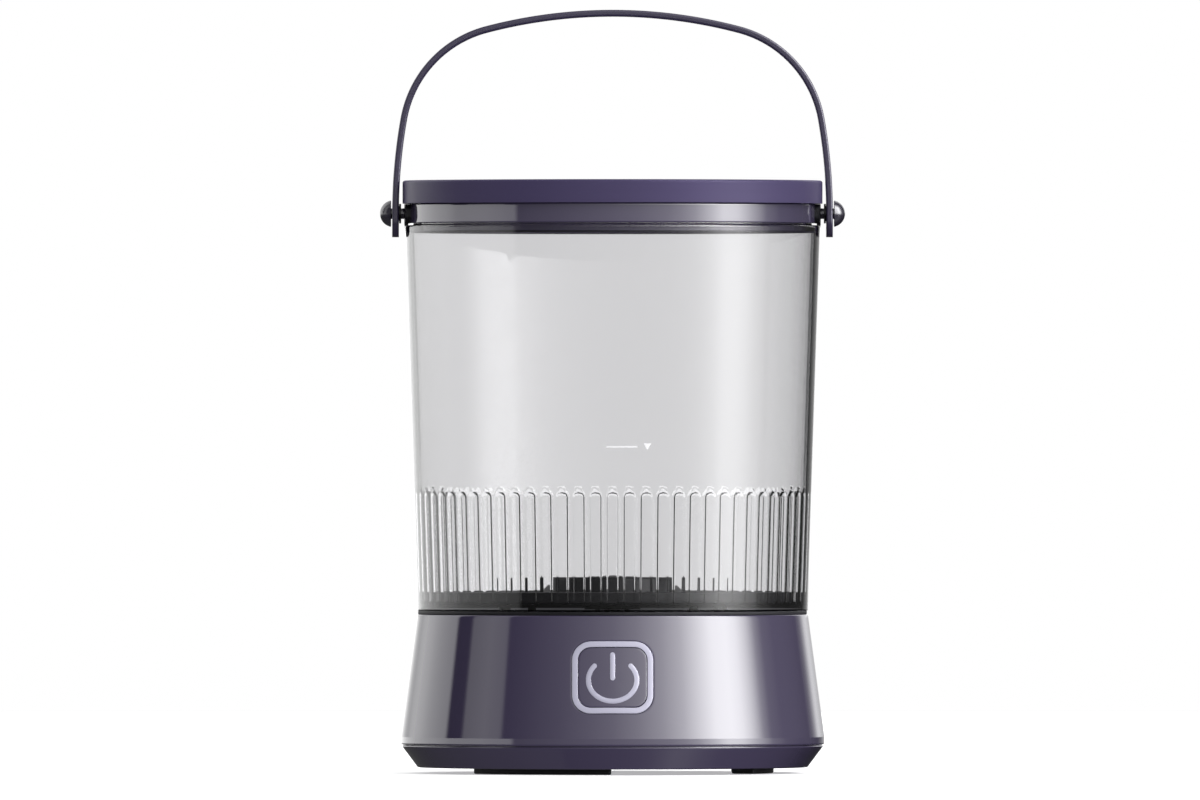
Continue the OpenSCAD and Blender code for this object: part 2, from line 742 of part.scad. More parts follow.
module idler_gear() {
  color("ivory") translate([idler_at[0], idler_at[1], z_slow]) difference() {
    union() {
      linear_extrude(slow_face + 0.6 + eps)
        gear_outline(small_teeth, slow_mod, 180 + 180 / small_teeth);
      translate([0, 0, slow_face + 0.6]) linear_extrude(fast_face)
        gear_outline(large_teeth, fast_mod, motor_turn);
    }
    translate([0, 0, -1]) cylinder(r = axle_r + 0.05, h = 30);
  }
}

axle_r = 2;

module idler_axle() {
  color("silver") translate([idler_at[0], idler_at[1], z_case + 0.4])
    cylinder(r = axle_r, h = z_cover_top - z_case - 0.8);
}

module motor_pinion() {
  color("#c9a227") translate([motor_at[0], motor_at[1], z_fast - 1]) difference() {
    linear_extrude(fast_face + 1.6)
      gear_outline(pinion_teeth, fast_mod, motor_turn + 180 + 180 / pinion_teeth);
    translate([0, 0, -1]) cylinder(r = motor_shaft_r, h = 12);
  }
}

motor_shaft_r = 1.15;

module motor_shaft() {
  color("silver") translate([motor_at[0], motor_at[1], z_case - motor_h + 2.6])
    cylinder(r = motor_shaft_r, h = z_fast + fast_face + 1 - z_case + motor_h - 2.6);
}

// Outline of the gear case's inside, grown by "grow"
module case_outline(grow) {
  circle(r = output_out + 1.2 + grow);
  translate(idler_at) circle(r = large_out + 1.2 + grow);
  translate(motor_at) circle(r = motor_screw_at + 2.8 + grow);
}

module gear_case() {
  h = z_cover_top - cover_h - z_case;
  color("#3a3a40") difference() {
    union() {
      translate([0, 0, z_case]) linear_extrude(h) case_outline(case_wall);
      for (p = case_holes) translate([p[0], p[1], z_case]) cylinder(r = lug_r, h = h);
      translate([0, 0, z_case - 3.4]) cylinder(r = bearing_out + 2, h = 4);
    }
    translate([0, 0, z_case + case_floor]) linear_extrude(40) case_outline(0);
    for (p = case_holes) translate([p[0], p[1], z_case - 1]) cylinder(r = small_screw_r + slip, h = 40);
    translate([0, 0, z_case - 3.4 + 1.2]) cylinder(r = bearing_out, h = 10);
    translate([0, 0, z_case - 5]) cylinder(r = shaft_r + 1, h = 10);
    translate([idler_at[0], idler_at[1], z_case + 0.4]) cylinder(r = axle_r, h = 10);
    translate([motor_at[0], motor_at[1], z_case - 1]) cylinder(r = motor_nose_r + 0.1, h = 10);
    for (a = [0, 180]) translate([motor_at[0], motor_at[1], z_case - 1]) rotate([0, 0, a])
      translate([motor_screw_at, 0, 0])
      cylinder(r = small_screw_r + slip, h = 10);
  }
}

module gear_cover() {
  color("#3a3a40") difference() {
    union() {
      translate([0, 0, z_cover_top - cover_h]) linear_extrude(cover_h) case_outline(case_wall);
      for (p = case_holes) translate([p[0], p[1], z_cover_top - cover_h])
        cylinder(r = lug_r, h = cover_h);
    }
    for (p = case_holes) translate([p[0], p[1], z_cover_top - 5])
      cylinder(r = small_screw_r + slip, h = 10);
    translate([0, 0, z_cover_top - 10]) cylinder(r = bearing_out, h = 20);
    translate([idler_at[0], idler_at[1], z_cover_top - cover_h - 1])
      cylinder(r = axle_r, h = cover_h + 0.6);
  }
}

module case_screws() {
  color("silver") for (p = case_holes) translate([p[0], p[1], z_case]) {
    translate([0, 0, -1.6]) cylinder(r = 2.3, h = 1.6);
    cylinder(r = small_screw_r, h = z_deck - 0.9 - z_case);
  }
}

// Ball bearing as one sealed ring
module bearing(z) {
  translate([0, 0, z]) difference() {
    cylinder(r = bearing_out, h = bearing_h);
    translate([0, 0, -1]) cylinder(r = shaft_r + 0.03, h = bearing_h + 2);
    for (s = [-1, bearing_h - 0.5]) translate([0, 0, s]) ring(bearing_out - 1.5, shaft_r + 1.6, 1.5);
  }
}

z_low_bearing = z_case - 3.4 + 1.2;
z_high_bearing = z_cover_top - cover_h;

module lower_bearing() { color("silver") bearing(z_low_bearing); }
module upper_bearing() { color("silver") bearing(z_high_bearing); }

// ---- pulsator ----

z_disc = z_floor + 2.2;
disc_t = 2;
rim_gap = 0.5;                 // gap between the pulsator's rim and the tub's floor
rim_t = 2.4;
vane_h = 3.9 - disc_t;
z_hub = z_tub + hub_top;
hub_wall = 2.4;
socket_r = 8;
shaft_top = z_hub - 3.2;
cap_r = 11;

module drive_shaft() {
  color("silver") difference() {
    translate([0, 0, z_low_bearing + 0.3]) cylinder(r = shaft_r, h = shaft_top - z_low_bearing - 0.3);
    translate([0, 0, shaft_top - 12]) cylinder(r = 1.6, h = 14);
  }
}

// One curved vane: a slice of ring from the hub to the disc's rim
module vane() {
  bend = pulsator_r * 0.62;
  from = hub_r - 1.5;
  intersection() {
    translate([0, bend * 0.42, 0]) translate([(pulsator_r + from) / 2, 0, 0]) rotate_extrude()
      translate([bend * 0.94 - 1.6, 0]) square([3.2, vane_h + 0.5]);
    translate([from, -30, 0]) cube([pulsator_r - 3 - from, 30 + 2, vane_h + 0.5]);
  }
}

module pulsator() {
  color("#17171a") difference() {
    union() {
      translate([0, 0, z_disc]) cylinder(r = pulsator_r, h = disc_t);
      // rim that stands up as high as the vanes and hangs close to the tub's floor
      translate([0, 0, z_floor + rim_gap])
        ring(pulsator_r, pulsator_r - rim_t, z_disc + disc_t + vane_h - z_floor - rim_gap);
      translate([0, 0, z_disc]) cylinder(r = hub_r, h = z_hub - z_disc - 1);
      translate([0, 0, z_hub - 1 - eps]) cylinder(r1 = hub_r, r2 = hub_r - 1, h = 1 + eps);
      for (i = [0 : vane_n - 1]) rotate([0, 0, i * 360 / vane_n])
        translate([0, 0, z_disc + disc_t - 0.5]) vane();
    }
    // the hub is hollow round its socket
    translate([0, 0, z_disc - 1]) ring(hub_r - hub_wall, socket_r, z_hub - hub_wall - z_disc + 1);
    translate([0, 0, z_disc - 1]) cylinder(r = shaft_r, h = shaft_top - z_disc + 1);
    translate([0, 0, z_disc - 1]) cylinder(r = tub_boss_r + 1.2, h = tub_boss_top + 0.8 - z_disc + 1);
    translate([0, 0, shaft_top - 1]) cylinder(r = 2.1, h = 10);
    translate([0, 0, z_hub - 2]) cylinder(r = cap_r + fit, h = 4);
    // drain holes
    for (ring_i = [0, 1]) around(vane_n * 2, hub_r + 14 + ring_i * 18, 360 / vane_n / 4 * (1 + ring_i))
      translate([0, 0, z_disc - 1]) cylinder(r = 2.4, h = disc_t + 6);
  }
}

module pulsator_screw() {
  color("silver") difference() {
    union() {
      translate([0, 0, shaft_top - 9]) cylinder(r = 1.6, h = 9 + 1.2 + eps);
      translate([0, 0, shaft_top + 1.2]) cylinder(r = 3.6, h = 0.9);
    }
    for (a = [0, 90]) rotate([0, 0, a]) translate([-1.8, -0.35, shaft_top + 1.6]) cube([3.6, 0.7, 2]);
  }
}

module pulsator_cap() {
  color("#232327") difference() {
    translate([0, 0, z_hub - 2]) rotate_extrude()
      polygon([[0, 0], [cap_r, 0], [cap_r, 1.7], [cap_r - 0.7, 2.3], [0, 2.9]]);
    translate([0, 0, z_hub - 3]) cylinder(r = 4.4, h = 2.5);
  }
}

// ---- motor ----

can_wall = 1.2;
motor_nose_r = 5;
motor_screw_at = 8;

module motor_can() {
  color("#9c9ca2") translate([motor_at[0], motor_at[1], z_case]) {
    translate([0, 0, -motor_h]) difference() {
      cylinder(r = motor_r, h = motor_h);
      translate([0, 0, -1]) cylinder(r = motor_r - can_wall, h = motor_h - 0.4);
      cylinder(r = motor_shaft_r + 0.5, h = motor_h + 1);
      for (a = [0, 180]) rotate([0, 0, a]) translate([motor_screw_at, 0, 0])
        cylinder(r = small_screw_r, h = motor_h + 1);
    }
    difference() {
      translate([0, 0, -eps]) cylinder(r = motor_nose_r, h = 2);
      translate([0, 0, -1]) cylinder(r = motor_shaft_r + 0.05, h = 4);
    }
  }
}

// The plastic end bell that closes the can, with its two terminals
module motor_end() {
  color("#20242b") translate([motor_at[0], motor_at[1], z_case - motor_h]) {
    difference() {
      translate([0, 0, -2]) cylinder(r = motor_r - can_wall, h = 6);
      translate([0, 0, 2.4]) cylinder(r = motor_shaft_r + 0.05, h = 4);
    }
    for (s = [-1, 1]) translate([s * 8 - 1.1, -0.3, -4.4]) cube([2.2, 0.6, 3]);
  }
}

module motor_armature() {
  color("#7a3c1e") translate([motor_at[0], motor_at[1], z_case - motor_h + 6]) difference() {
    cylinder(r = motor_r - 3.4, h = motor_h - 6 - 7);
    translate([0, 0, -1]) cylinder(r = motor_shaft_r, h = 40);
    around(3, motor_r - 3.4, 0) translate([0, 0, -1]) cylinder(r = 1.8, h = 40);
  }
}

module motor_screws() {
  color("silver") translate([motor_at[0], motor_at[1], z_case + case_floor]) for (a = [0, 180])
    rotate([0, 0, a])
    translate([motor_screw_at, 0, 0]) {
      translate([0, 0, -case_floor - 1.1]) cylinder(r = small_screw_r, h = case_floor + 1.1 + eps);
      cylinder(r = 2, h = 1);
    }
}

// ---- battery, boards, inlet, wiring ----

cell_r = 9.2;
cell_l = 65.2;
cell_y = 47.6;
cell_gap = 0.4;
tray_w = 4 * cell_r + cell_gap + 4;
tray_t = 1.5;
z_tray = z_pan + pan_floor;
z_cell = z_tray + tray_t + cell_r + 0.3;
cell_ys = [cell_y - cell_r - cell_gap / 2, cell_y + cell_r + cell_gap / 2];

module battery_tray() {
  color("#2b2b30") translate([0, cell_y, z_tray]) difference() {
    translate([-cell_l / 2 - 2.6, -tray_w / 2, 0]) cube([cell_l + 5.2, tray_w, 11]);
    for (y = cell_ys) translate([-cell_l / 2 - 0.6, y - cell_y, z_cell - z_tray]) rotate([0, 90, 0])
      cylinder(r = cell_r + slip, h = cell_l + 1.2);
  }
}

module battery_cell(i) {
  color("#3f7fa6") translate([-cell_l / 2, cell_ys[i], z_cell]) rotate([0, 90, 0]) {
    cylinder(r = cell_r, h = cell_l - 1.4);
    translate([0, 0, cell_l - 1.4 - eps]) cylinder(r = 3.2, h = 1.4);
  }
}

board_at = [-46, -6];
board_w = 40;
board_l = 54;
board_t = 1.6;
board_stand = 5;
board_screw_r = 1.1;
z_board = z_pan + pan_floor + board_stand;
board_holes = [for (x = [-1, 1], y = [-1, 1]) [board_at[0] + x * (board_w / 2 - 3.5),
  board_at[1] + y * (board_l / 2 - 3.5)]];

module control_board() {
  color("#1f5c3a") difference() {
    translate([board_at[0] - board_w / 2, board_at[1] - board_l / 2, z_board])
      cube([board_w, board_l, board_t]);
    for (p = board_holes) translate([p[0], p[1], z_board - 1])
      cylinder(r = board_screw_r + slip, h = board_t + 2);
  }
}

// [x, y, w, l, h] of the square parts on the control board
motor_plug = [8, -15, 10, 6, 5.5];
switch_plug = [13, -2, 6, 7, 5.5];
battery_plug = [-3, 22, 9, 6, 5.5];
board_blocks = [motor_plug, switch_plug, battery_plug, [-9, -12, 8, 8, 1.2], [10, 11, 6, 5, 2.4]];
// [x, y, r, h] of the capacitors
board_cans = [[-8, 2, 3.2, 8], [0.5, 2, 3.2, 8], [3, 11, 2.5, 6]];

module board_parts() {
  color("#19191c") translate([board_at[0], board_at[1], z_board + board_t]) {
    for (b = board_blocks) translate([b[0] - b[2] / 2, b[1] - b[3] / 2, 0]) cube([b[2], b[3], b[4]]);
    for (c = board_cans) translate([c[0], c[1], 0]) cylinder(r = c[2], h = c[3]);
  }
}

module board_screws() {
  color("silver") for (p = board_holes) translate([p[0], p[1], z_board + board_t]) {
    cylinder(r = 2.1, h = 1.3);
    translate([0, 0, -board_t - 4]) cylinder(r = board_screw_r, h = board_t + 4 + eps);
  }
}

inlet_deep = 9;

module power_inlet() {
  color("#8f8f95") on_cone(inlet_z, 180) translate([0, 0, -base_wall - 0.1 - inlet_deep]) {
    difference() {
      linear_extrude(inlet_deep) rounded(port_w, port_h, port_h / 2 - 0.01);
      translate([0, 0, 1]) linear_extrude(inlet_deep)
        rounded(port_w - 0.7, port_h - 0.7, (port_h - 0.7) / 2 - 0.01);
    }
    translate([-3.2, -0.35, 1 - eps]) cube([6.4, 0.7, inlet_deep - 2.4]);
  }
}

module inlet_board() {
  color("#1f5c3a") on_cone(inlet_z, 180) translate([-7.1, -port_h / 2 - 1.1, -base_wall - 12])
    cube([14.2, 1.1, 11.6]);
}

// Soft cover over the inlet; its bead turns in the recess's groove
module inlet_cover() {
  color("#3d3659") on_cone(inlet_z, 180) {
    difference() {
      translate([0, 0, -cover_t]) linear_extrude(cover_t)
        rounded(inlet_w - 2 * slip, inlet_h - 2 * slip, 2.5 - slip);
      translate([-inlet_w, -inlet_h / 2 - 3, -cover_t - 1])
        cube([2 * inlet_w, 3 + bead_r + slip, cover_t + 2]);
      translate([-4, inlet_h / 2 - 2, -0.5]) rotate([0, 90, 0]) cylinder(r = 0.6, h = 8);
    }
    translate([-inlet_w / 2 + 2.5 + slip, -inlet_h / 2, 0]) rotate([0, 90, 0])
      cylinder(r = bead_r, h = inlet_w - 5 - 2 * slip);
    translate([-inlet_w / 2 + 3.2, -inlet_h / 2, -0.8]) cube([inlet_w - 6.4, bead_r + slip + eps, 0.8]);
  }
}

// Unit vector along v
function unit(v) = v / norm(v);
// A point on the smooth curve through p at u from 0 to 1
function on_curve(p, u) =
  let (n = len(p) - 1, s = min(floor(u * n), n - 1), t = u * n - s,
    a = p[max(s - 1, 0)], b = p[s], c = p[s + 1], d = p[min(s + 2, n)])
  0.5 * ((2 * b) + (c - a) * t + (2 * a - 5 * b + 4 * c - d) * t * t + (3 * b - a - 3 * c + d) * t * t * t);

// A round wire along the smooth curve through p
module wire(p, r) {
  sides = 8;
  rings = 5 * (len(p) - 1);
  c = [for (i = [0 : rings]) on_curve(p, i / rings)];
  dirs = [for (i = [0 : rings]) unit(c[min(i + 1, rings)] - c[max(i - 1, 0)])];
  up = [for (d = dirs) unit(cross(d, abs(d[2]) > 0.9 ? [1, 0.02, 0] : [0.02, 0, 1]))];
  pts = [for (i = [0 : rings], k = [0 : sides - 1])
    c[i] + r * (cos(k * 360 / sides) * up[i] + sin(k * 360 / sides) * cross(dirs[i], up[i]))];
  faces = concat(
    [[for (k = [0 : sides - 1]) k]],
    [for (i = [0 : rings - 1], k = [0 : sides - 1]) let (n = (k + 1) % sides)
      [i * sides + k, (i + 1) * sides + k, (i + 1) * sides + n, i * sides + n]],
    [[for (k = [sides - 1 : -1 : 0]) rings * sides + k]]);
  polyhedron(points = pts, faces = faces);
}

// A point at [x, y] on the button's face, "deep" under the cone's surface
function under_button(x, y, deep) = [x,
  y * sin(flare_angle) + deep * cos(flare_angle) - base_at(button_z),
  button_z + y * cos(flare_angle) - deep * sin(flare_angle)];

lead_r = 0.8;
lead_z = z_board + board_t + 3;
lead_gap = 1.6;

module motor_leads() {
  m = motor_at;
  z = z_case - motor_h - 3;
  end = [board_at[0] + motor_plug[0] + motor_plug[2] / 2, board_at[1] + motor_plug[1]];
  color("#a02020") for (s = [-1, 1])
    wire([[m[0] + s * 8, m[1] - 0.3, z], [m[0] + s * 8, m[1] - 6, z], [20, -36 - s * lead_gap, z],
      [-12, -30 - s * lead_gap, z_board + 1], [end[0] + 6, end[1] - s * lead_gap, lead_z],
      [end[0], end[1] - s * lead_gap, lead_z]], lead_r);
}

module battery_leads() {
  x = -cell_l / 2;
  z = z_cell + 4;
  end = [board_at[0] + battery_plug[0], board_at[1] + battery_plug[1] + battery_plug[3] / 2];
  color("#303034") for (s = [0, 1])
    wire([[x, cell_ys[s], z], [x - 5 - 2 * s, cell_ys[s], z], [x - 12 - 8 * s, 32 + 6 * s, z - 2],
      [end[0] + lead_gap - 2 * lead_gap * s, end[1] + 6, lead_z],
        [end[0] + lead_gap - 2 * lead_gap * s, end[1], lead_z]],
      lead_r);
}

module switch_leads() {
  end = [board_at[0] + switch_plug[0] + switch_plug[2] / 2, board_at[1] + switch_plug[1]];
  color("#c7c2a8") for (s = [-1, 1])
    wire([under_button(s * lead_gap, -6, board_front + board_t),
      under_button(s * lead_gap, -7, board_front + 8),
      [s * lead_gap - 14, s * lead_gap - 45, 22], [end[0] + 6, end[1] + s * lead_gap, lead_z],
      [end[0], end[1] + s * lead_gap, lead_z]], lead_r);
}

base_pan();
base_housing();
base_screws();
tub_gasket();
tub();
tub_screws();
shaft_seal();
rim_collar();
pivot_bracket();  // pivot_bracket_right
mirror([1, 0, 0]) pivot_bracket();  // pivot_bracket_left
pivot_knob();  // pivot_knob_right
mirror([1, 0, 0]) pivot_knob();  // pivot_knob_left
strap_bush();  // strap_bush_right
mirror([1, 0, 0]) strap_bush();  // strap_bush_left
for (i = [1 : 3]) foot(i - 1);
lid_cap();
lid_plug();
lid_seal();
bail_strap();
button_frame();
power_button();
power_symbol();
switch_plunger();
tact_switch();
switch_board();
pulsator();
pulsator_cap();
pulsator_screw();
drive_shaft();
output_gear();
idler_gear();
idler_axle();
motor_pinion();
motor_shaft();
motor_armature();
motor_can();
motor_end();
motor_screws();
gear_case();
gear_cover();
case_screws();
lower_bearing();
upper_bearing();
battery_tray();
for (i = [1 : 2]) battery_cell(i - 1);
control_board();
board_parts();
board_screws();
power_inlet();
inlet_board();
inlet_cover();
motor_leads();
battery_leads();
switch_leads();
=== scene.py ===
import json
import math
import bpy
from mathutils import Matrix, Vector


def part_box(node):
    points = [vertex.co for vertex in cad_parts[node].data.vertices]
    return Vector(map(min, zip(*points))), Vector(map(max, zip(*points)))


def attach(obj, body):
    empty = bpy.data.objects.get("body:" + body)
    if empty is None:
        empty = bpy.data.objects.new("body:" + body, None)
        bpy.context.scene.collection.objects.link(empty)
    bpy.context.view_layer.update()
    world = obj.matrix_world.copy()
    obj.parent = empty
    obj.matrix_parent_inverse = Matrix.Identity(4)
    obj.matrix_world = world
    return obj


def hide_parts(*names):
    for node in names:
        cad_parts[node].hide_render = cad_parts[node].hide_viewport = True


bl_info = {
    "name": "Portable Mini Washer",
    "version": (1, 0, 0),
    "blender": (4, 5, 0),
    "location": "3D View > Sidebar > Washer",
    "description": "Builds the finished surfaces of a small tub washer on its packed frame",
    "category": "Add Mesh",
}

import bmesh
import bpy
import numpy as np
from bpy.props import FloatProperty, FloatVectorProperty, IntProperty, PointerProperty
from mathutils import Vector

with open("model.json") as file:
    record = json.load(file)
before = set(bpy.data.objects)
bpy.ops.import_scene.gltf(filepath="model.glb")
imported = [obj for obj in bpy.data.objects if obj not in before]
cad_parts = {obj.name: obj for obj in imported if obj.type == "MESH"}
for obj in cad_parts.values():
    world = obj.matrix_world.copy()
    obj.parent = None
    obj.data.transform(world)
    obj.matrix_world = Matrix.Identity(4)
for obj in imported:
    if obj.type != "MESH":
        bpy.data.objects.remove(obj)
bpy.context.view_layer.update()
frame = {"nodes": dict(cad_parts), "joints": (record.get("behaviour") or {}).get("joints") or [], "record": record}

MM = 0.001
SPIN = 288  # columns round the axis; a multiple of the two windows' blocks


# ---- places taken from the frame ----


def lowest(node):
    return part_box(node)[0].z


def highest(node):
    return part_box(node)[1].z


def reach(node):
    """Radius of a round node, the least of its four reaches in plan."""
    low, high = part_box(node)
    return min(-low.x, -low.y, high.x, high.y)


def joint(name):
    """The record's entry for one joint."""
    return next(j for j in frame["joints"] if j["name"] == name)


WALL = 2.5 * MM
FIT = 0.15 * MM
PAN_Z = lowest("base_pan")
SPLIT_Z = PAN_Z + 10.3 * MM
BAND_Z = SPLIT_Z + 3.4 * MM
DECK_Z = highest("base_housing")
BASE_R = reach("base_housing")
PAN_R = BASE_R - 7.6 * MM
TUB_Z = lowest("tub")
NECK_Z = highest("tub")
SHOULDER_Z = NECK_Z - 8.4 * MM
RIM_R = reach("tub")
FOOT_R = reach("tub_gasket") + 0.5 * MM
COLLAR_R = reach("rim_collar")
COLLAR_Z = SHOULDER_Z + 0.9 * MM
RIM_Z = highest("rim_collar")
NECK_R = COLLAR_R - 1.85 * MM
TUB_WALL = 2.6 * MM
LID_TOP = highest("lid_cap")
LID_Z = RIM_Z + 0.03 * MM
PIVOT_Z = joint("bail_swing")["pos_m"][2]
BUTTON_Z = PAN_Z + 41.1 * MM
INLET_Z = PAN_Z + 22 * MM
FILL_Z = 146.3 * MM
EYE_X, EYE_Z = -5.6 * MM, 167.1 * MM
FLARE = math.atan((BASE_R - FOOT_R) / (DECK_Z - BAND_Z))
TAPER = (RIM_R - FOOT_R) / (SHOULDER_Z - TUB_Z)
FRAME_W, FRAME_H, FRAME_CORNER, FRAME_LINE = 36.2 * MM, 32.4 * MM, 8.4 * MM, 2.6 * MM
STRAP_T = 3.0 * MM
STRAP_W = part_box("bail_strap")[1].y * 2


# ---- shapes ----


def rounded(points, radii, steps=5, guard=0.35 * MM):
    """Outline of straight runs whose corners are arcs tangent to both of their sides.
    A guard point stands near each end of a long run, so that its shading stays flat."""
    points = [np.array(p, float) for p in points]
    line = []
    for i, corner in enumerate(points):
        r = radii[i]
        if r <= 0 or i in (0, len(points) - 1):
            line.append(corner)
            continue
        a, b = points[i - 1] - corner, points[i + 1] - corner
        a, b = a / np.linalg.norm(a), b / np.linalg.norm(b)
        half = math.acos(np.clip(a @ b, -1, 1)) / 2
        centre = corner + (a + b) / np.linalg.norm(a + b) * r / math.sin(half)
        start, end = corner + a * r / math.tan(half), corner + b * r / math.tan(half)
        first, last = start - centre, end - centre
        sweep = math.pi - 2 * half
        for t in np.linspace(0, 1, steps + 1):
            spoke = math.sin((1 - t) * sweep) * first + math.sin(t * sweep) * last
            line.append(centre + spoke / math.sin(sweep))
    guarded = [line[0]]
    for p, q in zip(line[:-1], line[1:]):
        run = np.linalg.norm(q - p)
        if run > 6 * guard:
            guarded += [p + (q - p) * guard / run, q - (q - p) * guard / run]
        guarded.append(q)
    return np.array(guarded)


def turned(outline, spin=SPIN):
    """Surface of revolution about the upright axis: (r sin a, -r cos a, z), with a = 0 at the front."""
    a = np.arange(spin) * 2 * math.pi / spin
    r, z = outline[:, 0, None], outline[:, 1, None]
    return np.stack([r * np.sin(a), -r * np.cos(a), z + 0 * a], -1)


def turned_sideways(outline, centre_z, side, spin=48):
    """Surface of revolution about an axis along X: (x, r cos a, centre_z + r sin a), from (r, x) points."""
    a = np.arange(spin) * 2 * math.pi / spin
    r, x = outline[:, 0, None], outline[:, 1, None]
    return np.stack([side * (x + 0 * a), r * np.cos(a), centre_z + r * np.sin(a)], -1)


def cone_radius(z, out=0.0):
    """Radius of the base's cone at height z, moved out by "out" square to the surface."""
    return BASE_R - np.maximum(z - BAND_Z, 0) * math.tan(FLARE) + out / math.cos(FLARE)


def on_cone(x, y, out, centre_z, back=False):
    """The cone's point in front of [x, y] on the plane that touches the cone at centre_z.
    It steps along the plane's normal until the point's radius is the cone's radius there."""
    c, s = math.cos(FLARE), math.sin(FLARE)
    step = np.zeros_like(x)
    for _ in range(9):
        py = y * s - step * c - cone_radius(centre_z)
        pz = centre_z + y * c + step * s
        step = step - (np.hypot(x, py) - cone_radius(pz, out)) * c
    side = -1 if back else 1
    return np.stack([side * x, side * py, pz], -1)


def outline_at(angle, width, height, corner):
    """Points of a rounded rectangle, met by rays from its centre at angles measured on its unit square.
    The walk goes round the four corner circles, and the jumps between them are the straight sides."""
    t = np.linspace(0, 2 * math.pi, 1441)[:-1]
    corner = min(corner, width * 0.499, height * 0.499)
    x = np.sign(np.cos(t)) * (width / 2 - corner) + corner * np.cos(t)
    y = np.sign(np.sin(t)) * (height / 2 - corner) + corner * np.sin(t)
    at = np.arctan2(y / height, x / width)
    order = np.argsort(at)
    return [np.interp(angle, at[order], side[order], period=2 * math.pi) for side in (x, y)]


def belt(points):
    """A grid that closes round its second parameter."""
    return points, False, True, None


def stitched(grids):
    """Vertices and quads of grids; a grid is (points[u, v, 3], closed along u, closed along v, cells kept)."""
    verts, quads, start = [], [], 0
    for points, round_u, round_v, keep in grids:
        u, v = points.shape[:2]
        columns, rows = np.arange(u if round_u else u - 1), np.arange(v if round_v else v - 1)
        a, b = np.meshgrid(columns, rows, indexing="ij")
        a1, b1 = (a + 1) % u, (b + 1) % v
        cells = np.stack([a * v + b, a1 * v + b, a1 * v + b1, a * v + b1], -1)
        cells = cells.reshape(-1, 4) if keep is None else cells[keep]
        verts.append(points.reshape(-1, 3))
        quads.append(cells + start)
        start += u * v
    return np.concatenate(verts), np.concatenate(quads)


def mesh_of(name, grids):
    """A mesh from grids, with its seams and poles merged and its faces outwards."""
    verts, quads = stitched(grids)
    mesh = bpy.data.meshes.new(name)
    mesh.vertices.add(len(verts))
    mesh.vertices.foreach_set("co", verts.ravel())
    mesh.loops.add(quads.size)
    mesh.loops.foreach_set("vertex_index", quads.ravel().astype(np.int32))
    mesh.polygons.add(len(quads))
    mesh.polygons.foreach_set("loop_start", np.arange(0, quads.size, 4, dtype=np.int32))
    mesh.update(calc_edges=True)
    bm = bmesh.new()
    bm.from_mesh(mesh)
    bmesh.ops.remove_doubles(bm, verts=bm.verts, dist=2e-6)
    bmesh.ops.dissolve_degenerate(bm, edges=bm.edges, dist=1e-7)
    bmesh.ops.recalc_face_normals(bm, faces=bm.faces)
    bm.to_mesh(mesh)
    bm.free()
    return mesh


def smoothed(mesh, sharp=38):
    """Smooth shading, but for folds sharper than this many degrees."""
    mesh.shade_smooth()
    mesh.set_sharp_from_angle(angle=math.radians(sharp))


def add_object(name, mesh):
    """A new object in the scene."""
    thing = bpy.data.objects.new(name, mesh)
    bpy.context.scene.collection.objects.link(thing)
    return thing


def make_piece(name, grids, body, slot, replaced=(), sharp=38, material=None):
    """One named piece from grids, in its slot's finish or in one of its own, riding on a body."""
    mesh = mesh_of(name, grids)
    smoothed(mesh, sharp)
    mesh.materials.append(material or finish(slot))
    piece = add_object(name, mesh)
    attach(piece, body)
    if replaced:
        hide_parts(*replaced)
    return piece


def bored(piece, places, radius, low, high):
    """Cuts straight round holes into a piece at the given places, with cutters that are then removed."""
    a = np.arange(32) * 2 * math.pi / 32
    rows = [(0, low), (radius, low), (radius, high), (0, high)]
    grids = []
    for x, y in places:
        ring = np.stack([np.stack([x + r * np.cos(a), y + r * np.sin(a), z + 0 * a], -1) for r, z in rows])
        grids.append(belt(ring))
    cutter = add_object("cutter", mesh_of("cutter", grids))
    cut = piece.modifiers.new("holes", "BOOLEAN")
    cut.operation, cut.solver, cut.object = "DIFFERENCE", "EXACT", cutter
    view = bpy.context.evaluated_depsgraph_get()
    result = bpy.data.meshes.new_from_object(piece.evaluated_get(view))
    piece.modifiers.clear()
    whole, tool = piece.data, cutter.data
    piece.data = result
    result.name = piece.name
    bpy.data.objects.remove(cutter)
    bpy.data.meshes.remove(tool)
    bpy.data.meshes.remove(whole)
    smoothed(result)


# ---- finishes ----


def add_node(tree, kind, place=(0, 0), **values):
    """A new node with some of its settings."""
    node = tree.nodes.new(kind)
    node.location = place
    for key, value in values.items():
        setattr(node, key, value)
    return node


def feed(tree, node, values):
    """Gives sockets their values: each a number, a colour, or another node's socket to follow."""
    for name, value in values.items():
        if isinstance(value, bpy.types.NodeSocket):
            tree.links.new(value, node.inputs[name])
        else:
            node.inputs[name].default_value = value
    return node


def calc(tree, place, operation, *values, **settings):
    """The result of a Math node."""
    node = add_node(tree, "ShaderNodeMath", place, operation=operation, **settings)
    return feed(tree, node, dict(enumerate(values))).outputs[0]


def noise(tree, place, where, scale, detail, roughness=0.5):
    """A noise that is even in every direction, from 0 to 1."""
    node = add_node(tree, "ShaderNodeTexNoise", place)
    values = {"Vector": where, "Scale": scale, "Detail": detail, "Roughness": roughness}
    return feed(tree, node, values).outputs["Fac"]


def tinted(tree, place, colour, brightness):
    """A colour made lighter or darker all over."""
    node = add_node(tree, "ShaderNodeVectorMath", place, operation="SCALE")
    return feed(tree, node, {0: colour, "Scale": brightness}).outputs[0]


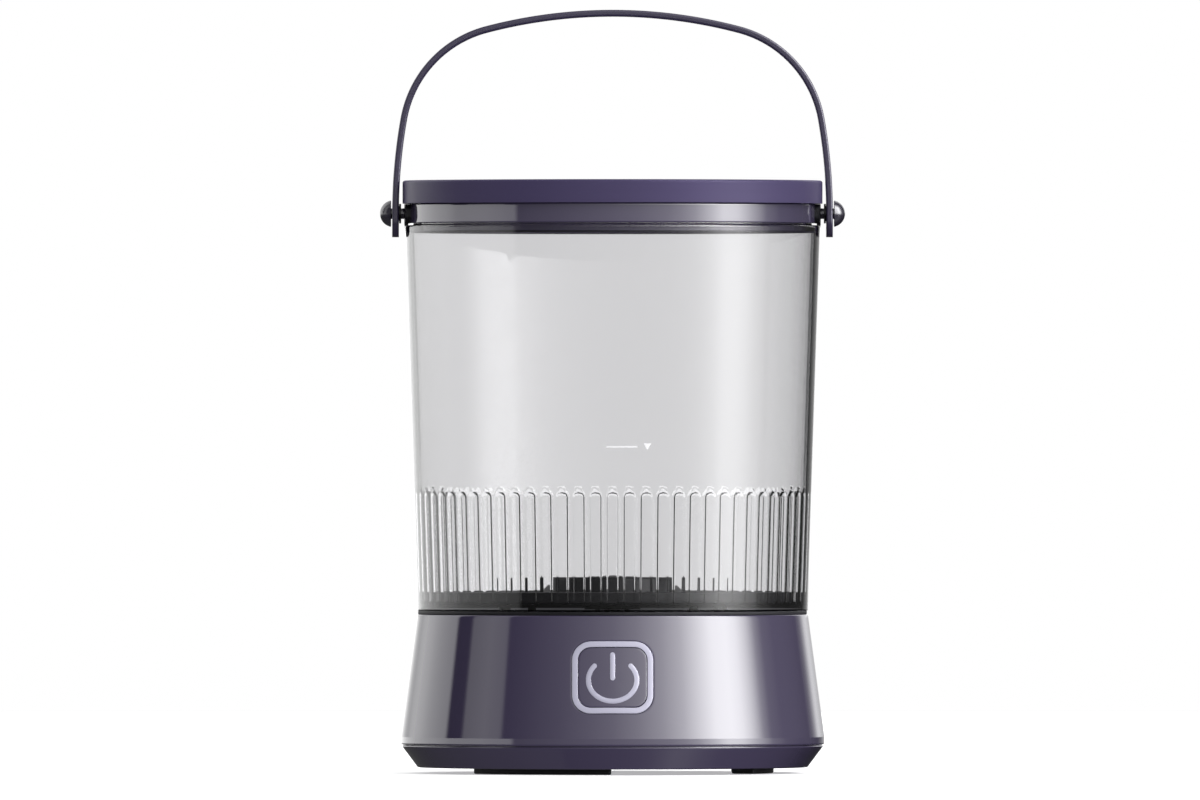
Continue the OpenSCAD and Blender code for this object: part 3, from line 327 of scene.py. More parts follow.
def group_with(name, inputs, outputs):
    """An empty shader node group with named sockets; a socket is (name, type, default)."""
    if name in bpy.data.node_groups:
        return bpy.data.node_groups[name], None, None
    tree = bpy.data.node_groups.new(name, "ShaderNodeTree")
    for label, kind, default in inputs:
        socket = tree.interface.new_socket(name=label, in_out="INPUT", socket_type=kind)
        socket.default_value = default
    for label, kind in outputs:
        tree.interface.new_socket(name=label, in_out="OUTPUT", socket_type=kind)
    return tree, add_node(tree, "NodeGroupInput", (-900, 0)), add_node(tree, "NodeGroupOutput", (500, 0))


SURFACE_OUTPUTS = [("Colour", "NodeSocketColor"), ("Roughness", "NodeSocketFloat"),
                   ("Height", "NodeSocketFloat")]


def moulded_group():
    """Moulded plastic: slow drift of the colour, patchy sheen and a fine grain of the tool's texture."""
    tree, inside, outside = group_with(
        "Moulded Surface",
        [("Colour", "NodeSocketColor", (0.5, 0.5, 0.5, 1)), ("Drift", "NodeSocketFloat", 0.06),
         ("Roughness", "NodeSocketFloat", 0.3), ("Patchiness", "NodeSocketFloat", 0.04),
         ("Grain Size", "NodeSocketFloat", 2500.0)], SURFACE_OUTPUTS)
    if inside is None:
        return tree
    given = inside.outputs
    where = add_node(tree, "ShaderNodeTexCoord", (-900, -300)).outputs["Object"]
    slow = noise(tree, (-650, 150), where, 22.0, 2.0)
    patch = noise(tree, (-650, -100), where, 90.0, 4.0)
    grain = noise(tree, (-650, -350), where, given["Grain Size"], 3.0, 0.6)
    shift = calc(tree, (-430, 150), "SUBTRACT", slow, 0.5)
    brightness = calc(tree, (-260, 150), "MULTIPLY_ADD", shift, given["Drift"], 1.0)
    centred = calc(tree, (-430, -80), "SUBTRACT", patch, 0.5)
    rough = calc(tree, (-260, -80), "MULTIPLY_ADD", centred, given["Patchiness"], given["Roughness"])
    colour = tinted(tree, (-60, 200), given["Colour"], brightness)
    feed(tree, outside, {"Colour": colour, "Roughness": rough, "Height": grain})
    return tree


def brushed_group():
    """Worked metal: streaks drawn out along one axis, in brightness, roughness and height."""
    tree, inside, outside = group_with(
        "Worked Metal",
        [("Colour", "NodeSocketColor", (0.6, 0.6, 0.6, 1)), ("Streaks", "NodeSocketVector", (60, 60, 1500)),
         ("Roughness", "NodeSocketFloat", 0.3), ("Depth", "NodeSocketFloat", 0.15)], SURFACE_OUTPUTS)
    if inside is None:
        return tree
    given = inside.outputs
    where = add_node(tree, "ShaderNodeTexCoord", (-900, -300)).outputs["Object"]
    stretch = add_node(tree, "ShaderNodeVectorMath", (-700, -200), operation="MULTIPLY")
    feed(tree, stretch, {0: where, 1: given["Streaks"]})
    streaks = noise(tree, (-500, -200), stretch.outputs[0], 1.0, 3.0)
    tone = calc(tree, (-280, 100), "MULTIPLY_ADD", streaks, 0.35, 0.82)
    rough = calc(tree, (-280, -120), "MULTIPLY_ADD", streaks, given["Depth"], given["Roughness"])
    colour = tinted(tree, (-60, 150), given["Colour"], tone)
    feed(tree, outside, {"Colour": colour, "Roughness": rough, "Height": streaks})
    return tree


def blank_material(name):
    """A new material with only a Principled shader and an output."""
    material = bpy.data.materials.new(name)
    material.use_nodes = True
    tree = material.node_tree
    tree.nodes.clear()
    shader = add_node(tree, "ShaderNodeBsdfPrincipled", (200, 0))
    end = add_node(tree, "ShaderNodeOutputMaterial", (520, 0))
    tree.links.new(shader.outputs[0], end.inputs["Surface"])
    return material, tree, shader


def surfaced(name, group, values, grain, depth):
    """A new material that takes colour, roughness and height from a surface group with its own values."""
    material, tree, shader = blank_material(name)
    surface = feed(tree, add_node(tree, "ShaderNodeGroup", (-350, 0), node_tree=group), values).outputs
    bump = add_node(tree, "ShaderNodeBump", (0, -250))
    feed(tree, bump, {"Strength": grain, "Distance": depth, "Height": surface["Height"]})
    feed(tree, shader, {"Base Color": surface["Colour"], "Roughness": surface["Roughness"],
                        "Normal": bump.outputs["Normal"]})
    return material, shader


def moulded(name, colour, roughness, grain=0.02, size=2500.0, drift=0.06, patch=0.04, ior=1.5, shine=0.5):
    """Plastic, rubber or lacquer with the moulded surface's drift, sheen and grain."""
    values = {"Colour": (*colour, 1), "Drift": drift, "Roughness": roughness, "Patchiness": patch,
              "Grain Size": size}
    material, shader = surfaced(name, moulded_group(), values, grain, 0.2 * MM)
    shader.inputs["IOR"].default_value = ior
    shader.inputs["Specular IOR Level"].default_value = shine
    return material


def worked_metal(name, colour, roughness, streaks=(60, 60, 1500), depth=0.12, grain=0.06):
    """Metal with the streaks that its making leaves."""
    values = {"Colour": (*colour, 1), "Streaks": streaks, "Roughness": roughness, "Depth": depth}
    material, shader = surfaced(name, brushed_group(), values, grain, 0.1 * MM)
    shader.inputs["Metallic"].default_value = 1.0
    return material


def clear_plastic(name, tint, density):
    """Clear moulded plastic that dims light by the length of its way through it, so that a wall seen edge on
    is darker. Lamps and mirrored light pass straight through the walls to what stands inside."""
    material, tree, shader = blank_material(name)
    where = add_node(tree, "ShaderNodeTexCoord", (-900, -100)).outputs["Object"]
    flow = noise(tree, (-700, -100), where, 9.0, 2.0)
    rough = calc(tree, (-350, -60), "MULTIPLY_ADD", flow, 0.02, 0.015)
    bump = add_node(tree, "ShaderNodeBump", (-100, -250))
    feed(tree, bump, {"Strength": 0.04, "Distance": 0.4 * MM, "Height": flow})
    feed(tree, shader, {"Base Color": (0.862, 0.86, 0.868, 1), "Transmission Weight": 1.0, "IOR": 1.4,
                        "Roughness": rough, "Normal": bump.outputs["Normal"]})
    path = add_node(tree, "ShaderNodeLightPath", (-300, 500)).outputs
    lamp = calc(tree, (0, 500), "MAXIMUM", path["Is Shadow Ray"], path["Is Diffuse Ray"])
    mirrored = calc(tree, (0, 340), "GREATER_THAN", path["Glossy Depth"], 0.5)
    either = calc(tree, (180, 450), "MAXIMUM", lamp, mirrored)
    through = add_node(tree, "ShaderNodeBsdfTransparent", (200, 250))
    mix = add_node(tree, "ShaderNodeMixShader", (420, 150))
    feed(tree, mix, {"Fac": either, 1: shader.outputs[0], 2: through.outputs[0]})
    inside = add_node(tree, "ShaderNodeVolumeAbsorption", (420, -100))
    feed(tree, inside, {"Color": (*tint, 1), "Density": density})
    end = next(n for n in tree.nodes if n.type == "OUTPUT_MATERIAL")
    end.location = (640, 100)
    feed(tree, end, {"Surface": mix.outputs[0], "Volume": inside.outputs[0]})
    return material


# a moulded finish is (name, colour, roughness, grain, grain size, drift, patchiness, IOR, shine)
BLACK = (0.006, 0.006, 0.008)
MOULDED = {
    "black_rubber": ("black rubber", BLACK, 0.62, 0.25, 1800, 0.2, 0.1, 1.45, 0.25),
    "grey_seal": ("grey seal", (0.26, 0.25, 0.31), 0.5, 0.12, 2200, 0.1, 0.08),
    "black_plastic": ("black plastic", BLACK, 0.4, 0.04, 2600, 0.15, 0.08, 1.45, 0.25),
    "dark_metal": ("dark lacquer", (0.028, 0.025, 0.04), 0.22, 0.03, 2000, 0.1, 0.06, 1.6),
    "white_nylon": ("white nylon", (0.78, 0.75, 0.64), 0.45, 0.06, 1500, 0.05, 0.08),
    "case_plastic": ("case plastic", (0.035, 0.035, 0.042), 0.45, 0.15, 1400, 0.1, 0.08),
    "circuit_board": ("circuit board", (0.012, 0.1, 0.042), 0.35, 0.12, 420, 0.5, 0.1),
    "board_black": ("moulded parts", (0.02, 0.02, 0.022), 0.4, 0.08, 1800, 0.2, 0.1),
    "cell_wrap": ("cell wrap", (0.04, 0.2, 0.36), 0.3, 0.05, 700, 0.12, 0.08),
    "red_lead": ("red lead", (0.36, 0.014, 0.012), 0.38, 0.05, 900, 0.1, 0.05),
    "black_lead": ("black lead", (0.018, 0.018, 0.02), 0.38, 0.05, 900, 0.1, 0.05),
    "pale_lead": ("pale lead", (0.58, 0.55, 0.42), 0.38, 0.05, 900, 0.1, 0.05),
    "fill_ink": ("fill ink", (0.9, 0.9, 0.92), 0.5, 0.02, 2000, 0.03, 0.03),
    "pale_floor": ("pale floor", (0.93, 0.93, 0.93), 0.7, 0.02, 300, 0.01, 0.02),
}
# a metal finish is (name, colour, roughness, streaks along each axis, depth, grain)
METALS = {
    "steel": ("brushed steel", (0.6, 0.6, 0.62), 0.24),
    "bearing_steel": ("bearing steel", (0.68, 0.68, 0.7), 0.1, (400, 400, 400), 0.08),
    "brass": ("machined brass", (0.72, 0.52, 0.22), 0.22, (900, 900, 60)),
    "copper_winding": ("copper winding", (0.55, 0.22, 0.09), 0.3, (120, 120, 2600), 0.2, 0.5),
}
FINISHES = {}


def finish(slot):
    """The finish of one of the record's material slots, or of the print or the floor, made once."""
    if slot in FINISHES:
        return FINISHES[slot]
    colours = bpy.context.scene.washer_colours
    painted = {
        "gloss_purple": ("gloss purple", colours.shell, 0.06, 0.012, 900, 0.05, 0.02, 1.52),
        "satin_purple": ("satin purple", colours.lid, 0.4, 0.05, 3200, 0.05, 0.06, 1.45, 0.12),
        "strap_purple": ("strap purple", colours.strap, 0.3, 0.05, 2600, 0.08, 0.06, 1.48),
        "light_trim": ("light trim", colours.trim, 0.22, 0.02, 2400, 0.04, 0.05),
    }
    if slot == "clear_tub":
        made = clear_plastic("clear tub", colours.clear_tint, colours.clear_density)
    elif slot in METALS:
        made = worked_metal(*METALS[slot])
    else:
        made = moulded(*(MOULDED | painted)[slot])
    FINISHES[slot] = made
    return made


# ---- settings ----


class WasherSizes(bpy.types.PropertyGroup):
    """Sizes of the finished surfaces that the frame leaves open."""

    edge: FloatProperty(name="Edge radius", description="Radius of the shells' small edges", default=0.6 * MM,
                        min=0.1 * MM, max=1.5 * MM, unit="LENGTH")
    lid_edge: FloatProperty(name="Lid edge", description="Radius of the lid's top edge", default=1.1 * MM,
                            min=0.3 * MM, max=2.0 * MM, unit="LENGTH")
    rib_count: IntProperty(name="Wash ribs", description="Upright ribs round the tub's inside", default=72,
                           min=24, max=96)
    rib_half: FloatProperty(name="Rib half width", description="Half the width of a rib", default=2.4 * MM,
                            min=1 * MM, max=3 * MM, unit="LENGTH")
    rib_proud: FloatProperty(name="Rib height", description="How far a rib stands in from the wall",
                             default=0.9 * MM, min=0.3 * MM, max=1.5 * MM, unit="LENGTH")
    rib_top: FloatProperty(name="Rib top", description="Height of the ribs' tops above the tub's foot",
                           default=53.3 * MM, min=30 * MM, max=90 * MM, unit="LENGTH")
    strap_edge: FloatProperty(name="Strap edge", description="Corner radius of the strap's section",
                              default=0.9 * MM, min=0.3 * MM, max=1.4 * MM, unit="LENGTH")
    vanes: IntProperty(name="Vanes", description="Curved vanes on the pulsator", default=6, min=3, max=10)


class WasherColours(bpy.types.PropertyGroup):
    """Colours of the main finishes."""

    shell: FloatVectorProperty(name="Glossy shells", description="Base, pan and collar", subtype="COLOR",
                               default=(0.06, 0.05, 0.095), min=0, max=1)
    lid: FloatVectorProperty(name="Lid", description="Satin lid", subtype="COLOR",
                             default=(0.06, 0.0485, 0.11), min=0, max=1)
    strap: FloatVectorProperty(name="Bail", description="Bail strap", subtype="COLOR",
                               default=(0.03, 0.024, 0.055), min=0, max=1)
    trim: FloatVectorProperty(name="Light trim", description="Button frame and power sign", subtype="COLOR",
                              default=(0.47, 0.46, 0.58), min=0, max=1)
    clear_tint: FloatVectorProperty(name="Clear tint", description="Colour that the clear plastic lets through",
                                    subtype="COLOR", default=(0.0, 0.0, 0.03), min=0, max=1)
    clear_density: FloatProperty(name="Clear density", default=18.0, min=0, max=500,
                                 description="How strongly the clear plastic dims, per metre")


class WasherStudio(bpy.types.PropertyGroup):
    """The stage round the washer."""

    lens: FloatProperty(name="Lens", description="Focal length in millimetres", default=900, min=50, max=1100)
    frame_width: FloatProperty(name="Frame width", description="Width of the picture at the washer",
                               default=0.5376, min=0.3, max=2, unit="LENGTH")
    key: FloatProperty(name="Key light", description="Power of the soft key light", default=19, min=0,
                       max=200, unit="POWER")
    fill: FloatProperty(name="Fill", description="Strength of the even light from all round", default=0.62,
                        min=0, max=3)


# ---- stage ----


# brightness of the mirrored panels at compass angles from the front, for rays that climb and for level rays
RAISED_PANELS = [
    (-180, 1.3), (-151, 1.2), (-141, 2.1), (-130, 2.5), (-105, 2.4), (-103, 0.0), (-92, 0.0), (-90, 1.2),
    (-76, 1.7), (-65, 1.4), (-63, 0.0), (-50, 0.15), (-30, 0.5), (-14, 1.0), (0, 1.6), (14, 2.9), (28, 5.0),
    (40, 8.2), (52, 14.0), (60, 17.8), (70, 18.2), (77, 15.8), (84, 10.5), (92, 3.1), (98, 0.9), (108, 0.35),
    (136, 0.1), (143, 0.5), (152, 1.8), (180, 1.3)]
LEVEL_PANELS = [
    (-180, 1.9), (-149, 1.9), (-128, 2.5), (-110, 2.8), (-103.5, 2.7), (-99.5, 2.5), (-77, 2.9), (-57, 2.4),
    (-55.5, 0.35), (-30, 0.6), (-13, 0.85), (0, 1.1), (14, 1.5), (32, 2.4), (40, 3.4), (48, 5.0), (58, 9.2),
    (66, 13.3), (75, 12.1), (86, 6.2), (98, 1.4), (110, 0.36), (125, 0.15), (150, 0.08), (180, 1.0)]
# share of that brightness by the height that a ray climbs, from -1 straight down to 1 straight up
PANEL_HEIGHTS = [(-1, 0.05), (-0.1, 0.05), (-0.02, 1.0), (0.72, 1.0), (0.9, 0.35)]


def grey_ramp(tree, place, value, stops):
    """Colour ramp with one grey stop for each (position, brightness)."""
    ramp = add_node(tree, "ShaderNodeValToRGB", place)
    elements = ramp.color_ramp.elements
    for i, (position, brightness) in enumerate(stops):
        stop = elements[i] if i < 2 else elements.new(position)
        stop.position = position
        stop.color = (brightness, brightness, brightness, 1)
    return feed(tree, ramp, {"Fac": value}).outputs["Color"]


def spread(tree, place, value, start, end, low=0.0, high=1.0):
    """A value carried from the range start..end to the range low..high, and held at both ends."""
    node = add_node(tree, "ShaderNodeMapRange", place)
    values = {"Value": value, "From Min": start, "From Max": end, "To Min": low, "To Max": high}
    return feed(tree, node, values).outputs["Result"]


def blended(tree, place, share, first, second, mode="MIX"):
    """Two colours mixed, or multiplied."""
    node = add_node(tree, "ShaderNodeMix", place, data_type="RGBA", blend_type=mode)
    return feed(tree, node, {"Factor": share, "A": first, "B": second}).outputs["Result"]


def glow(tree, place, colour, strength):
    """Light from all round, of one colour or of a pattern."""
    node = add_node(tree, "ShaderNodeBackground", place)
    return feed(tree, node, {"Color": colour, "Strength": strength}).outputs[0]


def either_glow(tree, place, share, first, second):
    """One of two lights, by a share from 0 to 1."""
    node = add_node(tree, "ShaderNodeMixShader", place)
    return feed(tree, node, {"Fac": share, 1: first, 2: second}).outputs[0]


def mirrored_panels(tree, compass, z, depth):
    """Tall soft panels, seen only in reflections. Level and climbing rays have their own ramps over the
    compass angle. A reflection inside a clear wall is nearly put out, and one past it is dimmed."""
    top = max(brightness for _, brightness in RAISED_PANELS)
    ramps = [grey_ramp(tree, place, compass, [(angle / 360 + 0.5, value / top) for angle, value in panels])
             for place, panels in (((-380, 460), LEVEL_PANELS), ((-380, 0), RAISED_PANELS))]
    bands = blended(tree, (-200, 160), spread(tree, (-380, 220), z, 0.01, 0.045), *ramps)
    height = grey_ramp(tree, (-380, -280), spread(tree, (-560, -280), z, -1.0, 1.0),
                       [((level + 1) / 2, share) for level, share in PANEL_HEIGHTS])
    seen = blended(tree, (-200, -60), 1.0, bands, height, "MULTIPLY")
    within = calc(tree, (-900, 420), "MODULO", depth, 2.0)
    dull = calc(tree, (-720, 420), "MULTIPLY_ADD", within, -0.97, 1.0)
    behind = spread(tree, (-900, 600), depth, 0.5, 1.5, 1.0, 0.4)
    both = calc(tree, (-560, 560), "MULTIPLY", dull, behind)
    return glow(tree, (-60, 0), blended(tree, (-130, -60), 1.0, seen, both, "MULTIPLY"), top)


def even_light(tree, x, z, strength):
    """Soft light for matt surfaces, weak from the left and a little weaker from below."""
    from_left = spread(tree, (-60, 360), x, -0.9, 0.0, 0.1, 1.95)
    from_below = spread(tree, (-60, 220), z, -0.3, 0.05, 0.9)
    return glow(tree, (160, 150), calc(tree, (80, 300), "MULTIPLY", from_left, from_below), strength)


def studio_world(strength):
    """World: white to the eye and, near the level, through clear walls, even light for matt surfaces, and
    tall soft panels for reflections."""
    world = bpy.data.worlds.new("studio")
    world.use_nodes = True
    tree = world.node_tree
    tree.nodes.clear()
    where = add_node(tree, "ShaderNodeTexCoord", (-1300, 0))
    along = add_node(tree, "ShaderNodeSeparateXYZ", (-1100, 0))
    along = feed(tree, along, {0: where.outputs["Generated"]}).outputs
    front = calc(tree, (-920, -80), "MULTIPLY", along["Y"], -1.0)
    compass = calc(tree, (-740, 0), "ARCTAN2", along["X"], front)
    compass = calc(tree, (-560, 0), "MULTIPLY_ADD", compass, 1 / (2 * math.pi), 0.5)
    path = add_node(tree, "ShaderNodeLightPath", (-1100, 520)).outputs
    panels = mirrored_panels(tree, compass, along["Z"], path["Transmission Depth"])
    even = even_light(tree, along["X"], along["Z"], strength)
    mirrored = calc(tree, (160, 620), "GREATER_THAN", path["Glossy Depth"], 0.5)
    lit = either_glow(tree, (400, 60), mirrored, even, panels)
    straight = calc(tree, (320, 560), "SUBTRACT", path["Is Transmission Ray"], mirrored, use_clamp=True)
    direct = calc(tree, (480, 450), "MAXIMUM", path["Is Camera Ray"], straight)
    steep = calc(tree, (-380, 940), "ABSOLUTE", along["Z"])
    white = calc(tree, (160, 820), "MAXIMUM", spread(tree, (-200, 1000), steep, 0.1, 0.25, 1.0, 0.04),
                 path["Is Camera Ray"])
    whole = either_glow(tree, (600, 120), direct, lit, glow(tree, (380, 250), white, 1.0))
    end = add_node(tree, "ShaderNodeOutputWorld", (800, 120))
    tree.links.new(whole, end.inputs["Surface"])
    return world


def soft_light(name, place, aim, size, power):
    """A square area light that shines from place towards aim; no mirror or eye sees its panel."""
    data = bpy.data.lights.new(name, "AREA")
    data.shape, data.size, data.energy = "SQUARE", size, power
    lamp = add_object(name, data)
    place, aim = np.array(place, float), np.array(aim, float)
    lamp.location = place
    lamp.rotation_euler = Vector(aim - place).to_track_quat("-Z", "Y").to_euler()
    lamp.visible_camera = lamp.visible_glossy = lamp.visible_transmission = False
    return lamp


class WASHER_OT_camera(bpy.types.Operator):
    """Places the level, far camera that looks straight at the washer's front"""

    bl_idname = "washer.camera"
    bl_label = "Camera"

    def execute(self, context):
        studio = context.scene.washer_studio
        data = bpy.data.cameras.new("camera")
        data.lens, data.sensor_width = studio.lens, 36.0
        data.clip_start, data.clip_end = 0.1, 60.0
        camera = add_object("camera", data)
        away = studio.frame_width * studio.lens / data.sensor_width
        camera.location = (EYE_X, -away, EYE_Z)
        camera.rotation_euler = (math.pi / 2, 0, 0)
        context.scene.camera = camera
        return {"FINISHED"}


class WASHER_OT_stage(bpy.types.Operator):
    """Lays the pale floor and sets the soft light round the washer"""

    bl_idname = "washer.stage"
    bl_label = "Floor and light"

    def execute(self, context):
        studio = context.scene.washer_studio
        context.scene.world = studio_world(studio.fill)
        context.scene.view_settings.view_transform = "Standard"
        a = np.arange(64) * 2 * math.pi / 64
        rows = np.array([0.0, 1.0, 2.6])[:, None]
        disc = np.stack([rows * np.cos(a), rows * np.sin(a), 0 * rows * a], -1)
        mesh = mesh_of("floor", [belt(disc)])
        pale = finish("pale_floor")
        shader = next(n for n in pale.node_tree.nodes if n.type == "BSDF_PRINCIPLED")
        shader.inputs["Emission Color"].default_value = (1, 1, 1, 1)
        shader.inputs["Emission Strength"].default_value = 0.4
        mesh.materials.append(pale)
        floor = add_object("floor", mesh)
        floor.visible_glossy = floor.visible_diffuse = False
        soft_light("key", (1.7, -1.5, 1.3), (0, 0, 0.15), 1.6, studio.key)
        soft_light("back", (-1.4, 1.7, 1.5), (0, 0, 0.15), 1.6, studio.key * 0.35)
        return {"FINISHED"}


# ---- base ----


def opening_patch(theta, heights, out, centre_z, block, edge):
    """Sheet of the cone between a block of cells and an opening. Its outer border is the block's own
    border, its inner border is the opening's edge, and points between slide evenly from one to the other."""
    centre_column, half_columns, (first, last) = block
    columns = np.arange(-half_columns, half_columns + 1)
    step = theta[1] - theta[0]
    side = np.arange(first + 1, last)
    border = np.concatenate([
        np.stack([columns * step, np.full(len(columns), heights[first])], -1),
        np.stack([np.full(len(side), half_columns * step), heights[side]], -1),
        np.stack([columns[::-1] * step, np.full(len(columns), heights[last])], -1),
        np.stack([np.full(len(side), -half_columns * step), heights[side[::-1]]], -1)])
    middle = (heights[first] + heights[last]) / 2
    angle = np.arctan2((border[:, 1] - middle) / (heights[last] - middle),
                       border[:, 0] / (half_columns * step))
    x, y = outline_at(angle, *edge)
    rim = on_cone(x, y, out, centre_z)
    inner = np.stack([np.arctan2(rim[:, 0], -rim[:, 1]), rim[:, 2]], -1)
    t = np.array([0, 0.2, 0.4, 0.58, 0.74, 0.87, 0.95, 1.0])[:, None, None]
    path = border + (inner - border) * t
    turn = path[..., 0] + centre_column * step
    r = cone_radius(path[..., 1], out)
    return angle, np.stack([r * np.sin(turn), -r * np.cos(turn), path[..., 1]], -1)


def opening_walls(angle, rows, centre_z, back=False):
    """Walls of an opening, or rings of a plate: each row is a rounded outline at its own height."""
    loops = []
    for width, height, corner, out in rows:
        x, y = outline_at(angle, width, height, corner)
        loops.append(on_cone(x, y, out, centre_z, back))
    return np.stack(loops)


def pierced_skin(heights, out, openings):
    """Cone moved out by "out", with its openings. Returns grids, and each opening's edge angles."""
    theta = np.arange(SPIN) * 2 * math.pi / SPIN
    r = cone_radius(heights, out)[:, None]
    sheet = np.stack([r * np.sin(theta), -r * np.cos(theta), heights[:, None] + 0 * theta], -1)
    keep = np.ones((len(heights) - 1, SPIN), bool)
    grids, angles = [], []
    for centre_z, half_columns, reach_up, edge, back in openings:
        first = int(np.argmin(abs(heights - (centre_z - reach_up))))
        last = int(np.argmin(abs(heights - (centre_z + reach_up))))
        centre_column = SPIN // 2 if back else 0
        columns = (centre_column + np.arange(-half_columns, half_columns)) % SPIN
        keep[first:last, columns] = False
        block = (centre_column, half_columns, (first, last))
        angle, patch = opening_patch(theta, heights, out, centre_z, block, edge)
        grids.append(belt(patch))
        angles.append(angle)
    grids.append((sheet, False, True, keep))
    return grids, angles


class WASHER_OT_housing(bpy.types.Operator):
    """Builds the cone-shaped base shell with its stepped button window and its inlet recess"""

    bl_idname = "washer.housing"
    bl_label = "Base housing"

    def execute(self, context):
        edge = context.scene.washer_sizes.edge
        low, high = BAND_Z + 1.5 * MM, DECK_Z - 1.5 * MM
        heights = np.linspace(low, high, 45)
        soft = 0.3 * MM
        seat = (FRAME_W + 2 * FIT, FRAME_H + 2 * FIT, FRAME_CORNER + FIT)
        window = (FRAME_W - 2 * FRAME_LINE, FRAME_H - 2 * FRAME_LINE, FRAME_CORNER - FRAME_LINE)
        recess, port = (17 * MM, 10 * MM, 2.5 * MM), (9.9 * MM, 4.1 * MM, 2.0 * MM)

        def grown(outline, by):
            return (outline[0] + 2 * by, outline[1] + 2 * by, outline[2] + by)

        def lip(outline):
            turns = np.linspace(0, math.pi / 2, 4)
            return [(*grown(outline, soft * (1 - math.sin(a))), -soft * (1 - math.cos(a))) for a in turns]

        def skin(out, in_front, at_back):
            return pierced_skin(heights, out, [(BUTTON_Z, 16, 22 * MM, in_front, False),
                                               (INLET_Z, 9, 8 * MM, at_back, True)])

        outer, front_and_back = skin(0.0, grown(seat, soft), grown(recess, soft))
        inner, _ = skin(-WALL, window, port)
        front = lip(seat) + [(*seat, -1.2 * MM), (*window, -1.2 * MM), (*window, -WALL)]
        rear = lip(recess) + [(*recess, -1.7 * MM), (*port, -1.7 * MM), (*port, -WALL)]
        walls = [belt(opening_walls(front_and_back[0], front, BUTTON_Z)),
                 belt(opening_walls(front_and_back[1], rear, INLET_Z, True))]
        bore = 9.25 * MM
        inner_top, inner_low = cone_radius(high, -WALL), cone_radius(low, -WALL)
        foot_in = BASE_R - WALL
        foot = rounded([(inner_low, low), (foot_in, BAND_Z), (foot_in, SPLIT_Z), (BASE_R, SPLIT_Z),
                        (BASE_R, BAND_Z), (cone_radius(low), low)], [0, 0, 0.2 * MM, edge, 0.9 * MM, 0])
        deck = rounded([(cone_radius(high), high), (FOOT_R, DECK_Z), (bore, DECK_Z), (bore, DECK_Z - WALL),
                        (inner_top + 0.1 * MM, DECK_Z - WALL), (inner_top, high)],
                       [0, edge, 0.3 * MM, 0.3 * MM, 0, 0])
        grids = outer + inner + walls + [belt(turned(foot)), belt(turned(deck))]
        make_piece("housing_shell", grids, "base", "gloss_purple", ["base_housing"])
        return {"FINISHED"}


class WASHER_OT_pan(bpy.types.Operator):
    """Builds the bottom pan with its tucked-in side, locating lip and screw wells"""

    bl_idname = "washer.pan"
    bl_label = "Base pan"

    def execute(self, context):
        edge = context.scene.washer_sizes.edge
        floor_z, seam = PAN_Z + 3.2 * MM, SPLIT_Z - FIT
        lip_out, lip_in = BASE_R - WALL - FIT, BASE_R - WALL - FIT - 1.8 * MM
        outline = rounded([
            (0, PAN_Z), (PAN_R, PAN_Z), (BASE_R, seam), (lip_out, seam), (lip_out, SPLIT_Z + 2.5 * MM),
            (lip_in, SPLIT_Z + 2.5 * MM), (lip_in, floor_z + 4 * MM), (PAN_R - WALL, floor_z), (0, floor_z)],
            [0, 1.2 * MM, edge, 0, 0.3 * MM, 0.3 * MM, 0, 0, 0])
        pan = make_piece("pan_shell", [belt(turned(outline))], "base", "gloss_purple", ["base_pan"])
        ring = PAN_R - 9.6 * MM
        turns = math.pi / 4 + np.arange(4) * math.pi / 2
        wells = [(ring * math.cos(a), ring * math.sin(a)) for a in turns]
        bored(pan, wells, 3.15 * MM, PAN_Z - 2 * MM, PAN_Z + 1.8 * MM)
        return {"FINISHED"}


def foot_pad(centre, half_turn, r_in, r_out, low, high, edge, steps=40):
    """Rubber pad: a rounded section carried along an arc, and shrunk round a quarter circle at each end."""
    tip = np.linspace(0, math.pi / 2, 6)[:-1]
    run = np.concatenate([-half_turn + edge / r_out * (1 - np.cos(tip)),
                          np.linspace(-half_turn + edge / r_out, half_turn - edge / r_out, steps),
                          half_turn - edge / r_out * (1 - np.cos(tip[::-1]))])
    shrink = np.concatenate([edge * (1 - np.sin(tip)), np.zeros(steps), edge * (1 - np.sin(tip[::-1]))])
    angle = np.arange(40) * 2 * math.pi / 40
    x, y = outline_at(angle, r_out - r_in, high - low, edge)
    width, tall = r_out - r_in, high - low
    r = (r_in + r_out) / 2 + x[None, :] * (1 - 2 * shrink[:, None] / width)
    z = (low + high) / 2 + y[None, :] * (1 - 2 * shrink[:, None] / tall)
    turn = centre + run[:, None]
    sheet = np.stack([r * np.cos(turn), r * np.sin(turn), z], -1)
    ends = [np.broadcast_to(sheet[i].mean(0), sheet[i].shape) for i in (0, -1)]
    return np.concatenate([ends[0][None], sheet, ends[1][None]])


class WASHER_OT_feet(bpy.types.Operator):
    """Builds the three arc-shaped rubber feet"""

    bl_idname = "washer.feet"
    bl_label = "Feet"

    def execute(self, context):
        for i in range(3):
            node = f"foot_{i + 1}"
            centre = math.radians(-120 + 120 * i)
            r_out = PAN_R - 15.2 * MM
            r_in, top = r_out - 11.2 * MM, highest(node)
            grid = foot_pad(centre, math.radians(29.5), r_in, r_out, 0.0, top, 0.7 * MM)
            make_piece(f"rubber_foot_{i + 1}", [belt(grid)], "base", "black_rubber", [node])
        return {"FINISHED"}


# ---- button ----


